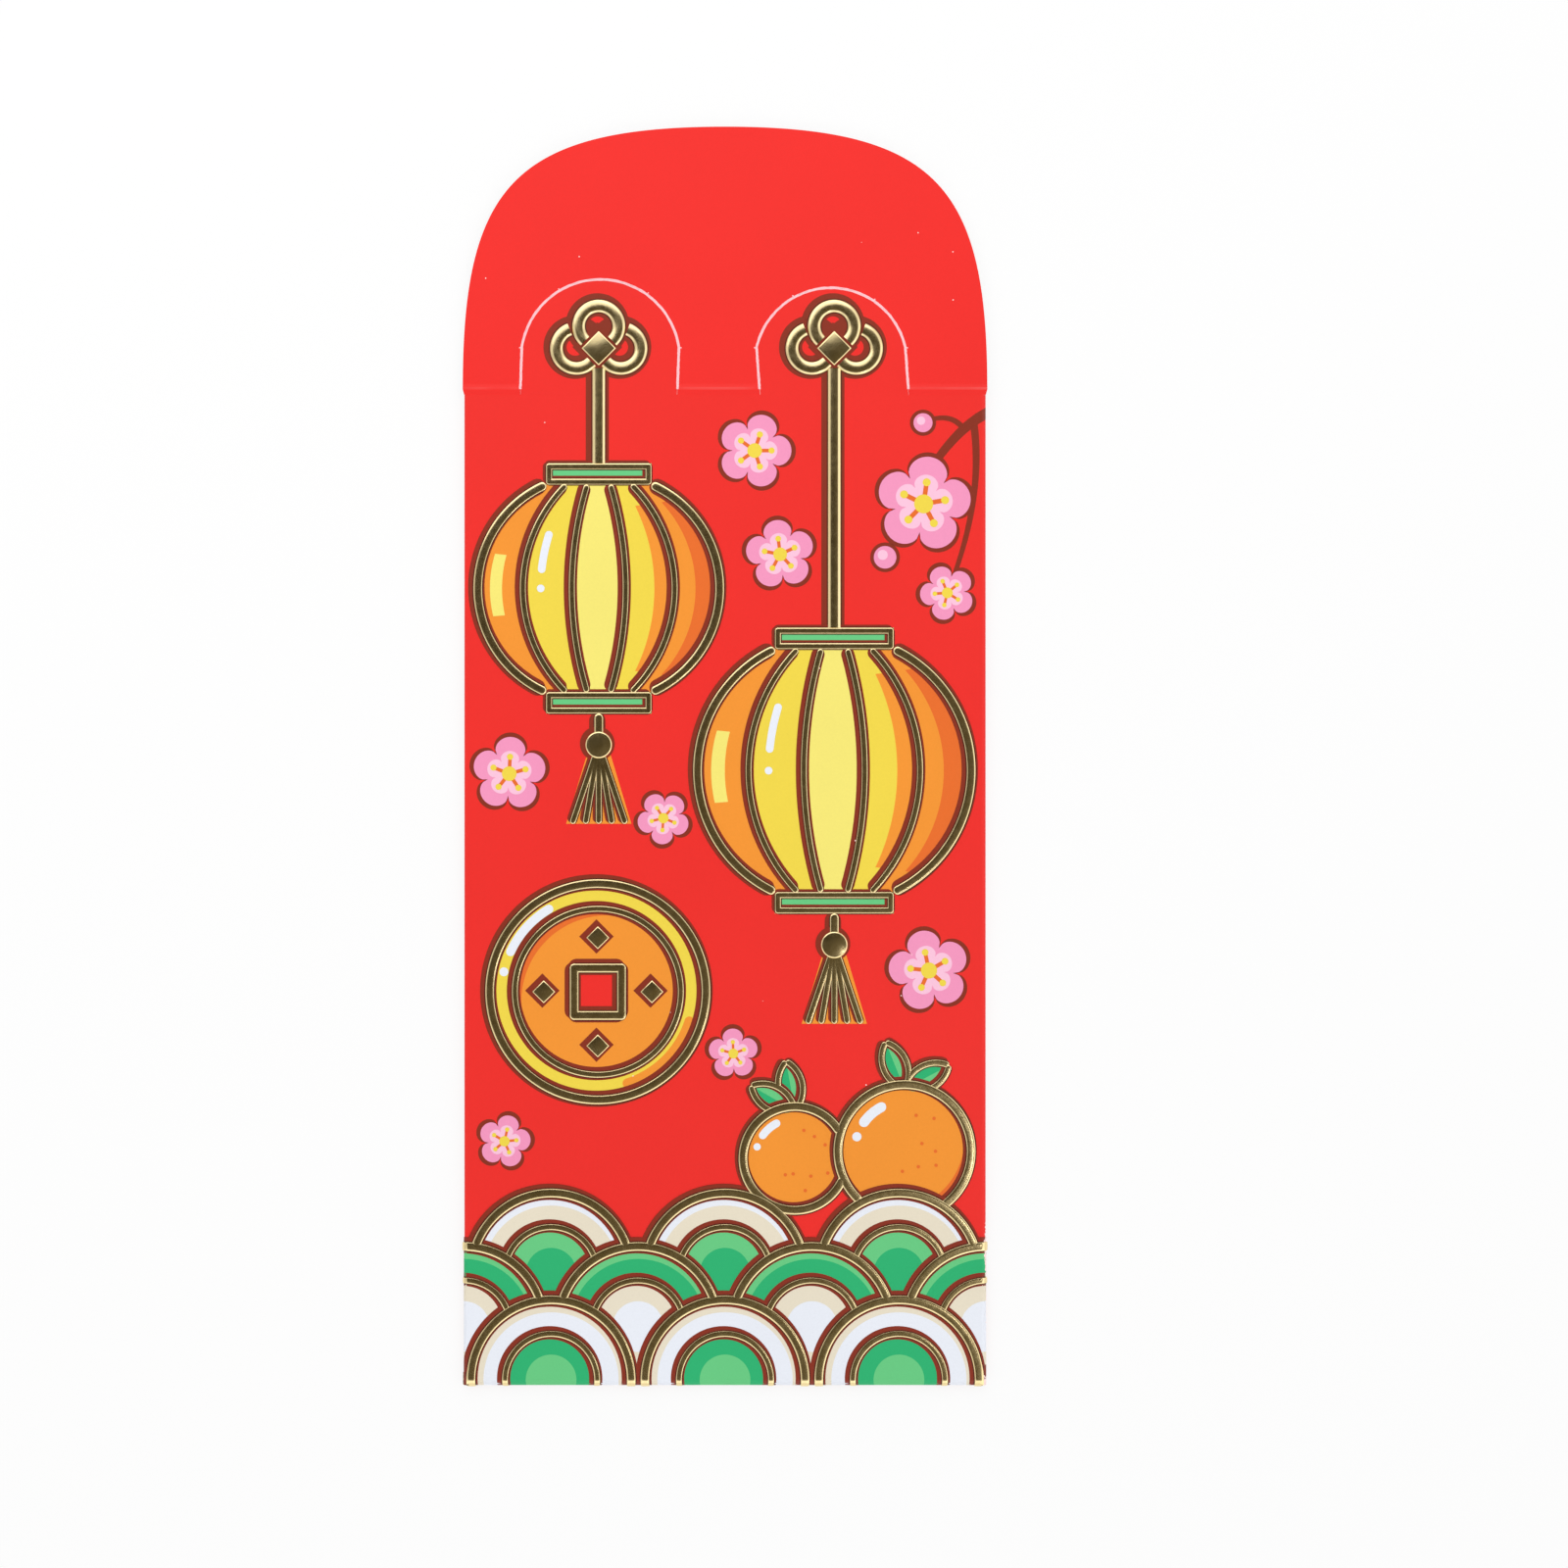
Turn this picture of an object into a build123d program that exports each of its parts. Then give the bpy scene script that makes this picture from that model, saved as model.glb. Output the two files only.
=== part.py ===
from build123d import *
import math
import os

# A red gift envelope of folded card, lying on its back with the printed side up and its
# flap open. X runs across the envelope, +Y runs from the bottom fold to the tip of the
# flap and +Z is up. The origin lies under the middle of the open envelope, on the table.

# Card and glue
CARD = 0.30                      # thickness of the card
GLUE_FILM = 0.05                 # thickness of a dried line of glue
GLUE_MARGIN = 1.5                # bare card left around the glue
POCKET_GAP = 0.50                # room in the pocket beside the seam

# Pocket
WIDTH = 88.0
HEIGHT = 168.0                   # bottom fold to crease
BACK_EDGE_INSET = 2.0            # free edge of the back panel, in from the left fold
MOUTH_DROP = 3.0                 # top edge of the back panel, below the crease
SEAM_TAB_WIDTH = 15.0
SEAM_TAB_TAPER = 5.0             # slant at both ends of the seam tab
BOTTOM_FLAP_DEPTH = 24.0
BOTTOM_FLAP_TAPER = 9.0          # how much narrower its free edge is, at each end
BOTTOM_FLAP_CORNER = 6.0         # radius of its free corners

# Flap and double-scored crease
FLAP_HEIGHT = 44.3               # crease to tip
FLAP_OVERHANG = 0.25             # how far the flap stands past each side of the pocket
FLAP_SIDE_HANDLE_SHARE = 0.76    # how far up its edge keeps straight
FLAP_TOP_HANDLE_SHARE = 0.82     # how far out its edge stays level at the tip
FLAP_REST_GAP = 0.05             # between the folded flap and the back panel
SCORE_SLACK = 0.05               # between a rounded score and the card beside it

# Pop-up tabs, cut in the flap and left standing on the front panel
SLIT = 0.50                      # width of the cut around a tab
TAB_LEG = 7.0                    # height of the straight sides above the crease
LEFT_TAB_WIDTH = 26.0
LEFT_TAB_HEIGHT = 18.25
LEFT_TAB_LEAN = 0.7              # its top, to the right of the middle of its foot
LEFT_TAB_PLACE_SHARE = -0.242    # of the width, from the middle
RIGHT_TAB_WIDTH = 24.6
RIGHT_TAB_HEIGHT = 16.8
RIGHT_TAB_LEAN = -1.35
RIGHT_TAB_PLACE_SHARE = 0.2095

# Embossed foil lines
PRINT_MARGIN = 1.0               # bare card between the pictures and the side folds
FOIL = 0.20                      # height of the relief
FOIL_BOLD = 2.2                  # cords and knots
FOIL_LINE = 1.5                  # outlines
FOIL_FINE = 1.0                  # ribs, strands and inner lines

# Knots of three loops on the tabs
KNOT_RISE = 6.9                  # middle of the knot above the crease
KNOT_LOOP = 3.4                  # radius of a loop, to the middle of its line
KNOT_LOOP_PLACE_SHARE = 1.1      # of that radius, from the knot's middle
KNOT_CORE = 6.0                  # diagonal of the lozenge in the middle

# Lanterns, each hanging straight below its tab and as wide as the room beside it allows.
# The right one hangs just above the mandarins.
LEFT_LANTERN_HEIGHT = 35.0
LEFT_LANTERN_LEVEL_SHARE = 0.80  # of the height, from the bottom fold
RIGHT_LANTERN_HEIGHT = 41.0
LANTERN_CAP_SHARE = 0.42         # of the lantern's width
LANTERN_CAP_HEIGHT = 3.6
LANTERN_RIB_SHARES = (0.62, 0.22)
TASSEL_BEAD = 4.6                # diameter
TASSEL_NECK = 3.0                # cord between cap and bead
TASSEL_LENGTH = 11.0             # below the bead
TASSEL_CLEARANCE = 1.0           # between the right tassel and the mandarins' leaves
TASSEL_SPREAD = 9.0              # across the strands' ends
TASSEL_STRANDS = 5

# Coin with a square hole
COIN_RADIUS = 19.0
COIN_INNER_RADIUS = 14.5
COIN_HOLE = 9.5
COIN_STUD = 4.0                  # diagonal of the four lozenges round the hole
COIN_INSET = 3.0                 # from the left fold
COIN_LEVEL_SHARE = 0.395         # of the height, from the bottom fold

# Mandarins, half hidden by the waves
MANDARIN_RADIUS = 12.0
MANDARIN_RISE = 6.3              # its middle above the crests of the waves
SMALL_MANDARIN_RADIUS = 9.5
MANDARIN_OVERLAP = 3.0           # how much of the small one is behind the other
MANDARIN_STEP = 1.2              # how much lower the small one lies
LEAF_LENGTH = 8.5
LEAF_BULGE_SHARE = 0.24          # of its length, each side of its midrib
LEAF_ANGLES = (112, 28)
SMALL_LEAF_ANGLES = (150, 100)

# Waves in three rows of scallops
WAVE_COUNT = 3                   # scallops across the width
WAVE_GAP = 0.8                   # between neighbours in a row
WAVE_ROW_STEP = 9.0
WAVE_ROWS = 3
WAVE_INNER_SHARE = 0.58          # radius of a scallop's inner line

# Levels of the layers, from the table up
bottom_flap_z = 0
back_z = bottom_flap_z + CARD + GLUE_FILM
seam_tab_z = back_z + CARD + GLUE_FILM
front_z = seam_tab_z + CARD + POCKET_GAP
front_top_z = front_z + CARD
hinge_z = front_z + CARD / 2

# Outer radii of the folds, each half the height that it closes
left_fold_radius = (front_top_z - seam_tab_z) / 2
right_fold_radius = (front_top_z - back_z) / 2
bottom_fold_radius = (front_top_z - bottom_flap_z) / 2

# Lines across the envelope. The crease is two scores, far enough apart for the flap to
# lie flat under the back panel once both are folded a quarter turn.
bottom_edge_y = -(HEIGHT + FLAP_HEIGHT) / 2
crease_y = bottom_edge_y + HEIGHT
crease_run = front_top_z - back_z + FLAP_REST_GAP
lower_score_y = crease_y - crease_run / 2
upper_score_y = crease_y + crease_run / 2
score_gap = CARD / 2 + SCORE_SLACK
panel_bottom_y = bottom_edge_y + bottom_fold_radius
panel_top_y = lower_score_y - score_gap

# Lines along the envelope
left_edge_x = -WIDTH / 2
right_edge_x = WIDTH / 2
panel_left_x = left_edge_x + left_fold_radius
panel_right_x = right_edge_x - right_fold_radius
left_tab_x = WIDTH * LEFT_TAB_PLACE_SHARE
right_tab_x = WIDTH * RIGHT_TAB_PLACE_SHARE

UP = (0, 0, 1)


def rectangle(left, bottom, right, top):
    """A flat rectangle between two corners."""
    return Pos((left + right) / 2, (bottom + top) / 2) * Rectangle(right - left, top - bottom)


def lozenge(place, diagonal):
    """A flat square standing on its corner."""
    return Pos(*place) * Rectangle(diagonal / math.sqrt(2), diagonal / math.sqrt(2), rotation=45)


def ring(place, radius, line):
    """A flat ring whose outer edge has the given radius."""
    return Pos(*place) * (Circle(radius) - Circle(radius - line))


def sheet(face, bottom_z, thickness):
    """A flat piece of even thickness, standing on the given level."""
    return Pos(0, 0, bottom_z) * extrude(face, amount=thickness, dir=UP)


def half_round_fold(plane, radius, side, length):
    """Card bent through half a turn, bulging to one side of the plane's origin."""
    around = Circle(radius) - Circle(radius - CARD)
    half = Pos(side * radius / 2, 0) * Rectangle(radius, 2 * radius)
    return extrude(plane * (around & half), amount=length)


def arch(middle_x, width, height, lean, bottom_y):
    """The outline of a tab: straight legs under a round top that leans aside, down to bottom_y."""
    left, right = middle_x - width / 2, middle_x + width / 2
    leg_top = crease_y + TAB_LEG
    leg_lean = lean * TAB_LEG / height
    left_shoulder, right_shoulder = (left + leg_lean, leg_top), (right + leg_lean, leg_top)
    edges = [
        Line((left, bottom_y), left_shoulder),
        ThreePointArc(left_shoulder, (middle_x + lean, crease_y + height), right_shoulder),
        Line(right_shoulder, (right, bottom_y)),
        Line((right, bottom_y), (left, bottom_y)),
    ]
    return make_face(edges)


def front_panel():
    return sheet(front_face, front_z, CARD)


def left_side_fold():
    middle_z = front_top_z - left_fold_radius
    plane = Plane((panel_left_x, bottom_edge_y, middle_z), x_dir=(1, 0, 0), z_dir=(0, 1, 0))
    return half_round_fold(plane, left_fold_radius, -1, panel_top_y - bottom_edge_y)


def right_side_fold():
    middle_z = front_top_z - right_fold_radius
    plane = Plane((panel_right_x, bottom_edge_y, middle_z), x_dir=(1, 0, 0), z_dir=(0, 1, 0))
    return half_round_fold(plane, right_fold_radius, 1, panel_top_y - bottom_edge_y)


def bottom_fold():
    middle_z = front_top_z - bottom_fold_radius
    plane = Plane((panel_left_x, panel_bottom_y, middle_z), x_dir=(0, 1, 0), z_dir=(1, 0, 0))
    return half_round_fold(plane, bottom_fold_radius, -1, panel_right_x - panel_left_x)


def seam_tab_face(margin):
    """The seam tab's outline, drawn in by a margin all round."""
    left, right = panel_left_x + margin, panel_left_x + SEAM_TAB_WIDTH - margin
    low, high = panel_bottom_y + margin, back_top_y - margin
    corners = [(left, low), (right, low + SEAM_TAB_TAPER), (right, high - SEAM_TAB_TAPER), (left, high)]
    return make_face(Polyline(*corners, close=True))


def bottom_flap_face(margin):
    """The bottom flap's outline, drawn in by a margin all round."""
    left, right = panel_left_x + margin, panel_right_x - margin
    low, high = panel_bottom_y + margin, panel_bottom_y + BOTTOM_FLAP_DEPTH - margin
    corners = [(left, low), (right, low), (right - BOTTOM_FLAP_TAPER, high), (left + BOTTOM_FLAP_TAPER, high)]
    outline = make_face(Polyline(*corners, close=True))
    free_corners = outline.vertices().group_by(Axis.Y)[-1]
    return fillet(free_corners, BOTTOM_FLAP_CORNER)


def seam_tab():
    return sheet(seam_tab_face(0), seam_tab_z, CARD)


def seam_glue():
    glued = seam_tab_face(GLUE_MARGIN) & back_face
    return sheet(glued, seam_tab_z - GLUE_FILM, GLUE_FILM)


def back_panel():
    return sheet(back_face, back_z, CARD)


def bottom_flap():
    return sheet(bottom_flap_face(0), bottom_flap_z, CARD)


def bottom_flap_glue():
    glued = bottom_flap_face(GLUE_MARGIN) & back_face
    return sheet(glued, back_z - GLUE_FILM, GLUE_FILM)


def crease_strip(left, right):
    """The card between the two scores, rounded along both so that each can turn."""
    plane = Plane((left, crease_y, hinge_z), x_dir=(0, 1, 0), z_dir=(1, 0, 0))
    return extrude(plane * SlotCenterToCenter(crease_run, CARD), amount=right - left)


def top_flap():
    half_width = WIDTH / 2 + FLAP_OVERHANG
    tip = (0, crease_y + FLAP_HEIGHT)
    handle_y = crease_y + FLAP_HEIGHT * FLAP_SIDE_HANDLE_SHARE
    handle_x = half_width * FLAP_TOP_HANDLE_SHARE
    edges = [
        Bezier((half_width, crease_y), (half_width, handle_y), (handle_x, tip[1]), tip),
        Bezier(tip, (-handle_x, tip[1]), (-half_width, handle_y), (-half_width, crease_y)),
        Line((-half_width, crease_y), (half_width, crease_y)),
    ]
    below_score = rectangle(-half_width, lower_score_y, half_width, upper_score_y + score_gap)
    outline = make_face(edges) - below_score
    for middle_x, width, height, lean in (left_tab, right_tab):
        outline -= arch(middle_x, width + 2 * SLIT, height + SLIT, lean, lower_score_y)
    return sheet(outline, front_z, CARD)


def pop_up_tab(middle_x, width, height, lean):
    """A tongue of the front panel, rounded along the lower score where it bends."""
    tongue = sheet(arch(middle_x, width, height, lean, lower_score_y), front_z, CARD)
    root = Pos(middle_x, lower_score_y, hinge_z) * Cylinder(CARD / 2, width, rotation=(0, 90, 0))
    return tongue + root


def on_front(lines):
    """Foil lines on the front panel, ending at its edges."""
    return sheet(lines & front_face, front_top_z, FOIL)


def knot_foil(middle_x, width, height, lean):
    """A three-loop knot on a tab, at the end of its cord."""
    middle_y = crease_y + KNOT_RISE
    start_y = lower_score_y + CARD + SCORE_SLACK
    reach = KNOT_LOOP * KNOT_LOOP_PLACE_SHARE
    lines = rectangle(middle_x - FOIL_BOLD / 2, start_y, middle_x + FOIL_BOLD / 2, middle_y)
    lines += lozenge((middle_x, middle_y), KNOT_CORE)
    for angle in (0, 90, 180):
        across, up = math.cos(math.radians(angle)), math.sin(math.radians(angle))
        loop_place = (middle_x + reach * across, middle_y + reach * up)
        lines += ring(loop_place, KNOT_LOOP + FOIL_BOLD / 2, FOIL_BOLD)
    return sheet(lines & arch(middle_x, width, height, lean, start_y), front_top_z, FOIL)


def cord_foil(middle_x, lantern_y, lantern_height):
    """The straight cord from a lantern's upper cap to the crease."""
    cap_top = lantern_y + lantern_height / 2 + LANTERN_CAP_HEIGHT
    return on_front(rectangle(middle_x - FOIL_BOLD / 2, cap_top, middle_x + FOIL_BOLD / 2, panel_top_y))


def lantern_foil(middle_x, middle_y, width, height):
    """The outline, ribs, caps and tassel of one lantern."""
    cap_half = width * LANTERN_CAP_SHARE / 2
    top, bottom = middle_y + height / 2, middle_y - height / 2

    def rib(share, line):
        end_x = middle_x + share * cap_half
        bulge_x = middle_x + share * (width - line) / 2
        into_cap = FOIL_FINE / 2
        curve = ThreePointArc((end_x, top + into_cap), (bulge_x, middle_y), (end_x, bottom - into_cap))
        return trace(curve, line)

    def cap(low):
        high = low + LANTERN_CAP_HEIGHT
        left, right = middle_x - cap_half, middle_x + cap_half
        hollow = rectangle(left + FOIL_FINE, low + FOIL_FINE, right - FOIL_FINE, high - FOIL_FINE)
        return rectangle(left, low, right, high) - hollow

    lines = cap(top) + cap(bottom - LANTERN_CAP_HEIGHT)
    for side in (-1, 1):
        lines += rib(side, FOIL_LINE)
        for share in LANTERN_RIB_SHARES:
            lines += rib(side * share, FOIL_FINE)

    neck_top = bottom - LANTERN_CAP_HEIGHT
    bead_y = neck_top - TASSEL_NECK - TASSEL_BEAD / 2
    lines += rectangle(middle_x - FOIL_LINE / 2, bead_y, middle_x + FOIL_LINE / 2, neck_top)
    lines += Pos(middle_x, bead_y) * Circle(TASSEL_BEAD / 2)
    strand_end_y = bead_y - TASSEL_BEAD / 2 - TASSEL_LENGTH
    for strand in range(TASSEL_STRANDS):
        end_x = middle_x + TASSEL_SPREAD * (strand / (TASSEL_STRANDS - 1) - 1 / 2)
        lines += trace(Line((middle_x, bead_y), (end_x, strand_end_y)), FOIL_FINE)
    return on_front(lines - waves - mandarin - small_mandarin - coin)


def coin_foil():
    """Rim, inner line, square hole and four studs of the coin."""
    frame = Rectangle(COIN_HOLE, COIN_HOLE) - Rectangle(COIN_HOLE - 2 * FOIL_LINE, COIN_HOLE - 2 * FOIL_LINE)
    lines = ring(coin_place, COIN_RADIUS, FOIL_LINE) + ring(coin_place, COIN_INNER_RADIUS, FOIL_FINE)
    lines += Pos(*coin_place) * frame
    stud_reach = (COIN_HOLE / 2 + COIN_INNER_RADIUS - FOIL_FINE) / 2
    for across, up in ((1, 0), (0, 1), (-1, 0), (0, -1)):
        lines += lozenge((coin_place[0] + stud_reach * across, coin_place[1] + stud_reach * up), COIN_STUD)
    return on_front(lines - waves - mandarin - small_mandarin)


def leaf_sides():
    """The two curved edges of a leaf that lies along +X."""
    bulge = LEAF_LENGTH * LEAF_BULGE_SHARE
    return [ThreePointArc((0, 0), (LEAF_LENGTH / 2, side * bulge), (LEAF_LENGTH, 0)) for side in (-1, 1)]


def fruit_shape(place, radius, leaf_angles):
    """A mandarin and its leaves, filled."""
    shape = Pos(*place) * Circle(radius)
    for angle in leaf_angles:
        shape += Pos(place[0], place[1] + radius - FOIL_LINE) * Rot(0, 0, angle) * make_face(leaf_sides())
    return shape


def fruit_lines(place, radius, leaf_angles):
    """A mandarin and its leaves, in outline."""
    lines = ring(place, radius, FOIL_LINE)
    for angle in leaf_angles:
        for side in leaf_sides():
            lines += Pos(place[0], place[1] + radius - FOIL_LINE) * Rot(0, 0, angle) * trace(side, FOIL_FINE)
    return lines


def mandarin_foil():
    """Outlines of the two mandarins, the larger in front of the smaller."""
    lines = fruit_lines(small_mandarin_place, SMALL_MANDARIN_RADIUS, SMALL_LEAF_ANGLES) - mandarin
    lines += fruit_lines(mandarin_place, MANDARIN_RADIUS, LEAF_ANGLES)
    return on_front(lines - waves)


def wave_places(row):
    """Middles of the scallops in one row, counted from the front."""
    pitch = WIDTH / WAVE_COUNT
    shift = pitch / 2 * (row % 2)
    across = [left_edge_x + pitch / 2 + shift + pitch * step for step in range(-1, WAVE_COUNT)]
    return [(x, panel_bottom_y + WAVE_ROW_STEP * row) for x in across]


def wave_row_discs(row):
    """All the scallops of one row as full discs."""
    discs = Sketch()
    for place in wave_places(row):
        discs += Pos(*place) * Circle(wave_radius)
    return discs


def wave_row_lines(row):
    """Two foil rings in each scallop of one row."""
    lines = Sketch()
    for place in wave_places(row):
        lines += ring(place, wave_radius, FOIL_LINE)
        lines += ring(place, wave_radius * WAVE_INNER_SHARE, FOIL_FINE)
    return lines


def wave_foil():
    """The scallops' lines, hidden where a nearer row covers them."""
    lines = wave_row_lines(WAVE_ROWS - 1)
    for row in reversed(range(WAVE_ROWS - 1)):
        lines = lines - wave_row_discs(row) + wave_row_lines(row)
    return on_front(lines)


front_face = rectangle(panel_left_x, panel_bottom_y, panel_right_x, panel_top_y)
back_top_y = crease_y - MOUTH_DROP
back_face = rectangle(left_edge_x + BACK_EDGE_INSET, panel_bottom_y, panel_right_x, back_top_y)
left_tab = (left_tab_x, LEFT_TAB_WIDTH, LEFT_TAB_HEIGHT, LEFT_TAB_LEAN)
right_tab = (right_tab_x, RIGHT_TAB_WIDTH, RIGHT_TAB_HEIGHT, RIGHT_TAB_LEAN)
left_slit_outer_x = left_tab_x - LEFT_TAB_WIDTH / 2 - SLIT
left_slit_inner_x = left_tab_x + LEFT_TAB_WIDTH / 2 + SLIT
right_slit_inner_x = right_tab_x - RIGHT_TAB_WIDTH / 2 - SLIT
right_slit_outer_x = right_tab_x + RIGHT_TAB_WIDTH / 2 + SLIT

# Places of the pictures, and the shapes that hide what is printed behind them
left_lantern_y = bottom_edge_y + HEIGHT * LEFT_LANTERN_LEVEL_SHARE
left_lantern_width = 2 * (left_tab_x - panel_left_x - PRINT_MARGIN)
right_lantern_width = 2 * (panel_right_x - PRINT_MARGIN - right_tab_x)
coin_place = (panel_left_x + COIN_INSET + COIN_RADIUS, bottom_edge_y + HEIGHT * COIN_LEVEL_SHARE)
wave_radius = (WIDTH / WAVE_COUNT - WAVE_GAP) / 2
wave_crest_y = panel_bottom_y + WAVE_ROW_STEP * (WAVE_ROWS - 1) + wave_radius
mandarin_place = (panel_right_x - PRINT_MARGIN - MANDARIN_RADIUS, wave_crest_y + MANDARIN_RISE)
mandarin_reach = MANDARIN_RADIUS + SMALL_MANDARIN_RADIUS - MANDARIN_OVERLAP
small_mandarin_place = (mandarin_place[0] - mandarin_reach, mandarin_place[1] - MANDARIN_STEP)
right_tassel_end_y = mandarin_place[1] + MANDARIN_RADIUS + LEAF_LENGTH + TASSEL_CLEARANCE
right_cap_bottom_y = right_tassel_end_y + TASSEL_LENGTH + TASSEL_BEAD + TASSEL_NECK
right_lantern_y = right_cap_bottom_y + LANTERN_CAP_HEIGHT + RIGHT_LANTERN_HEIGHT / 2
coin = Pos(*coin_place) * Circle(COIN_RADIUS)
mandarin = fruit_shape(mandarin_place, MANDARIN_RADIUS, LEAF_ANGLES)
small_mandarin = fruit_shape(small_mandarin_place, SMALL_MANDARIN_RADIUS, SMALL_LEAF_ANGLES)
waves = wave_row_discs(WAVE_ROWS - 1)

nodes = {
    "front_panel": front_panel(),
    "left_side_fold": left_side_fold(),
    "right_side_fold": right_side_fold(),
    "bottom_fold": bottom_fold(),
    "seam_tab": seam_tab(),
    "seam_glue": seam_glue(),
    "back_panel": back_panel(),
    "bottom_flap": bottom_flap(),
    "bottom_flap_glue": bottom_flap_glue(),
    "flap_crease_left": crease_strip(left_edge_x, left_slit_outer_x),
    "flap_crease_middle": crease_strip(left_slit_inner_x, right_slit_inner_x),
    "flap_crease_right": crease_strip(right_slit_outer_x, right_edge_x),
    "top_flap": top_flap(),
    "left_pop_up_tab": pop_up_tab(*left_tab),
    "right_pop_up_tab": pop_up_tab(*right_tab),
    "left_knot_foil": knot_foil(*left_tab),
    "right_knot_foil": knot_foil(*right_tab),
    "left_cord_foil": cord_foil(left_tab_x, left_lantern_y, LEFT_LANTERN_HEIGHT),
    "right_cord_foil": cord_foil(right_tab_x, right_lantern_y, RIGHT_LANTERN_HEIGHT),
    "left_lantern_foil": lantern_foil(left_tab_x, left_lantern_y, left_lantern_width, LEFT_LANTERN_HEIGHT),
    "right_lantern_foil": lantern_foil(
        right_tab_x, right_lantern_y, right_lantern_width, RIGHT_LANTERN_HEIGHT
    ),
    "coin_foil": coin_foil(),
    "mandarin_foil": mandarin_foil(),
    "wave_foil": wave_foil(),
}

os.makedirs("parts", exist_ok=True)
for name, solid in nodes.items():
    export_step(solid, f"parts/{name}.step")
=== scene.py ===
import cmath
import math
import random

import bmesh
import bpy
import numpy as np
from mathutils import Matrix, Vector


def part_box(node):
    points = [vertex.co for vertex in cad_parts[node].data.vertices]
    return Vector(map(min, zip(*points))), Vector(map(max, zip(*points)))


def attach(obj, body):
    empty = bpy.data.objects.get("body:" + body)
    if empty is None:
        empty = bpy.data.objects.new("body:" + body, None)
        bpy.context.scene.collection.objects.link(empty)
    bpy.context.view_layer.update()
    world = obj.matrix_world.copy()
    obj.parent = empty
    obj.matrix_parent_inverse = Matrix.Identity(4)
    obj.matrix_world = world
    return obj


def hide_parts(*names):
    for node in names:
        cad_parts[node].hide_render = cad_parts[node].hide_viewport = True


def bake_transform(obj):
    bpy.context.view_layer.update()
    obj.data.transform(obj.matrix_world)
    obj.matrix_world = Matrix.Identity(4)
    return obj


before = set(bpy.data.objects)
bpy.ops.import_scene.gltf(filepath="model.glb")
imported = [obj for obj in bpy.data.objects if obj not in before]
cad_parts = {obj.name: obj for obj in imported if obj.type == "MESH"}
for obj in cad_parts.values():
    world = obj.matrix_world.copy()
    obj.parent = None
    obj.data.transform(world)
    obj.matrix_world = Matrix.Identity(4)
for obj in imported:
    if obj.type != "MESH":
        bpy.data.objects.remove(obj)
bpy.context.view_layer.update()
mm = 0.001

# Pocket
# One die-cut sheet of card, printed red outside and left white inside. It is rolled over at both
# sides and along the bottom, and the seam and the bottom flap are glued down on the back.
front_low, front_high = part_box("front_panel")
seam_low, seam_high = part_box("seam_tab")
back_low, back_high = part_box("back_panel")
bottom_flap_low, bottom_flap_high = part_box("bottom_flap")
left_edge_x, right_edge_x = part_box("left_side_fold")[0].x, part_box("right_side_fold")[1].x
bottom_edge_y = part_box("bottom_fold")[0].y
front_middle = (front_low + front_high) / 2
front_width, front_length = front_high.x - front_low.x, front_high.y - front_low.y
card = front_high.z - front_low.z
face_z = front_high.z
left_radius = (face_z - seam_low.z) / 2
right_radius = (face_z - back_low.z) / 2
bottom_radius = (face_z - bottom_flap_low.z) / 2
fold_steps, corner_steps = 14, 8
seam_taper = 5.0 * mm
bottom_flap_taper, bottom_flap_corner = 9.0 * mm, 4.2 * mm
near = 0.002 * mm
smooth_angle = math.radians(40)
along_x, along_y = (1, 0, 0), (0, 1, 0)


def colour(*shade):
    """A colour as it shows on paper, 0 to 255, turned to Blender's linear values."""
    shares = [value / 255 for value in shade]
    return tuple(s / 12.92 if s <= 0.04045 else ((s + 0.055) / 1.055) ** 2.4 for s in shares)


def node(tree, kind, links=None, **values):
    """Adds a shader node, sets its properties and unlinked sockets, and links the rest."""
    made = tree.nodes.new("ShaderNode" + kind)
    for name, value in values.items():
        setattr(made, name, value)
    for socket, source in (links or {}).items():
        if isinstance(source, bpy.types.NodeSocket):
            tree.links.new(source, made.inputs[socket])
        else:
            made.inputs[socket].default_value = source
    return made


def maths(tree, operation, *values):
    """The result of one step of arithmetic."""
    return node(tree, "Math", dict(enumerate(values)), operation=operation).outputs[0]


def ramp(tree, value, low, high, start=0.0, end=1.0):
    """Goes softly from start to end while the value goes from low to high."""
    limits = {"Value": value, "From Min": low, "From Max": high, "To Min": start, "To Max": end}
    return node(tree, "MapRange", limits, interpolation_type="SMOOTHSTEP").outputs[0]


def noise(tree, place, per_metre, detail):
    """Soft random values over a surface."""
    return node(tree, "TexNoise", {"Vector": place, "Scale": per_metre, "Detail": detail}).outputs[0]


def mixed(tree, share, first, second):
    """A colour between two others."""
    return node(tree, "Mix", {0: share, 6: first, 7: second}, data_type="RGBA").outputs[2]


def position(tree):
    """The place on a piece, in metres."""
    return node(tree, "TexCoord").outputs["Object"]


def node_group(name, inputs, outputs):
    """An empty shader group with plain number inputs and outputs."""
    tree = bpy.data.node_groups.new(name, "ShaderNodeTree")
    for label, value in inputs.items():
        socket = tree.interface.new_socket(label, in_out="INPUT", socket_type="NodeSocketFloat")
        socket.default_value = value
    for label in outputs:
        tree.interface.new_socket(label, in_out="OUTPUT", socket_type="NodeSocketFloat")
    return tree, tree.nodes.new("NodeGroupInput").outputs, tree.nodes.new("NodeGroupOutput").inputs


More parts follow.
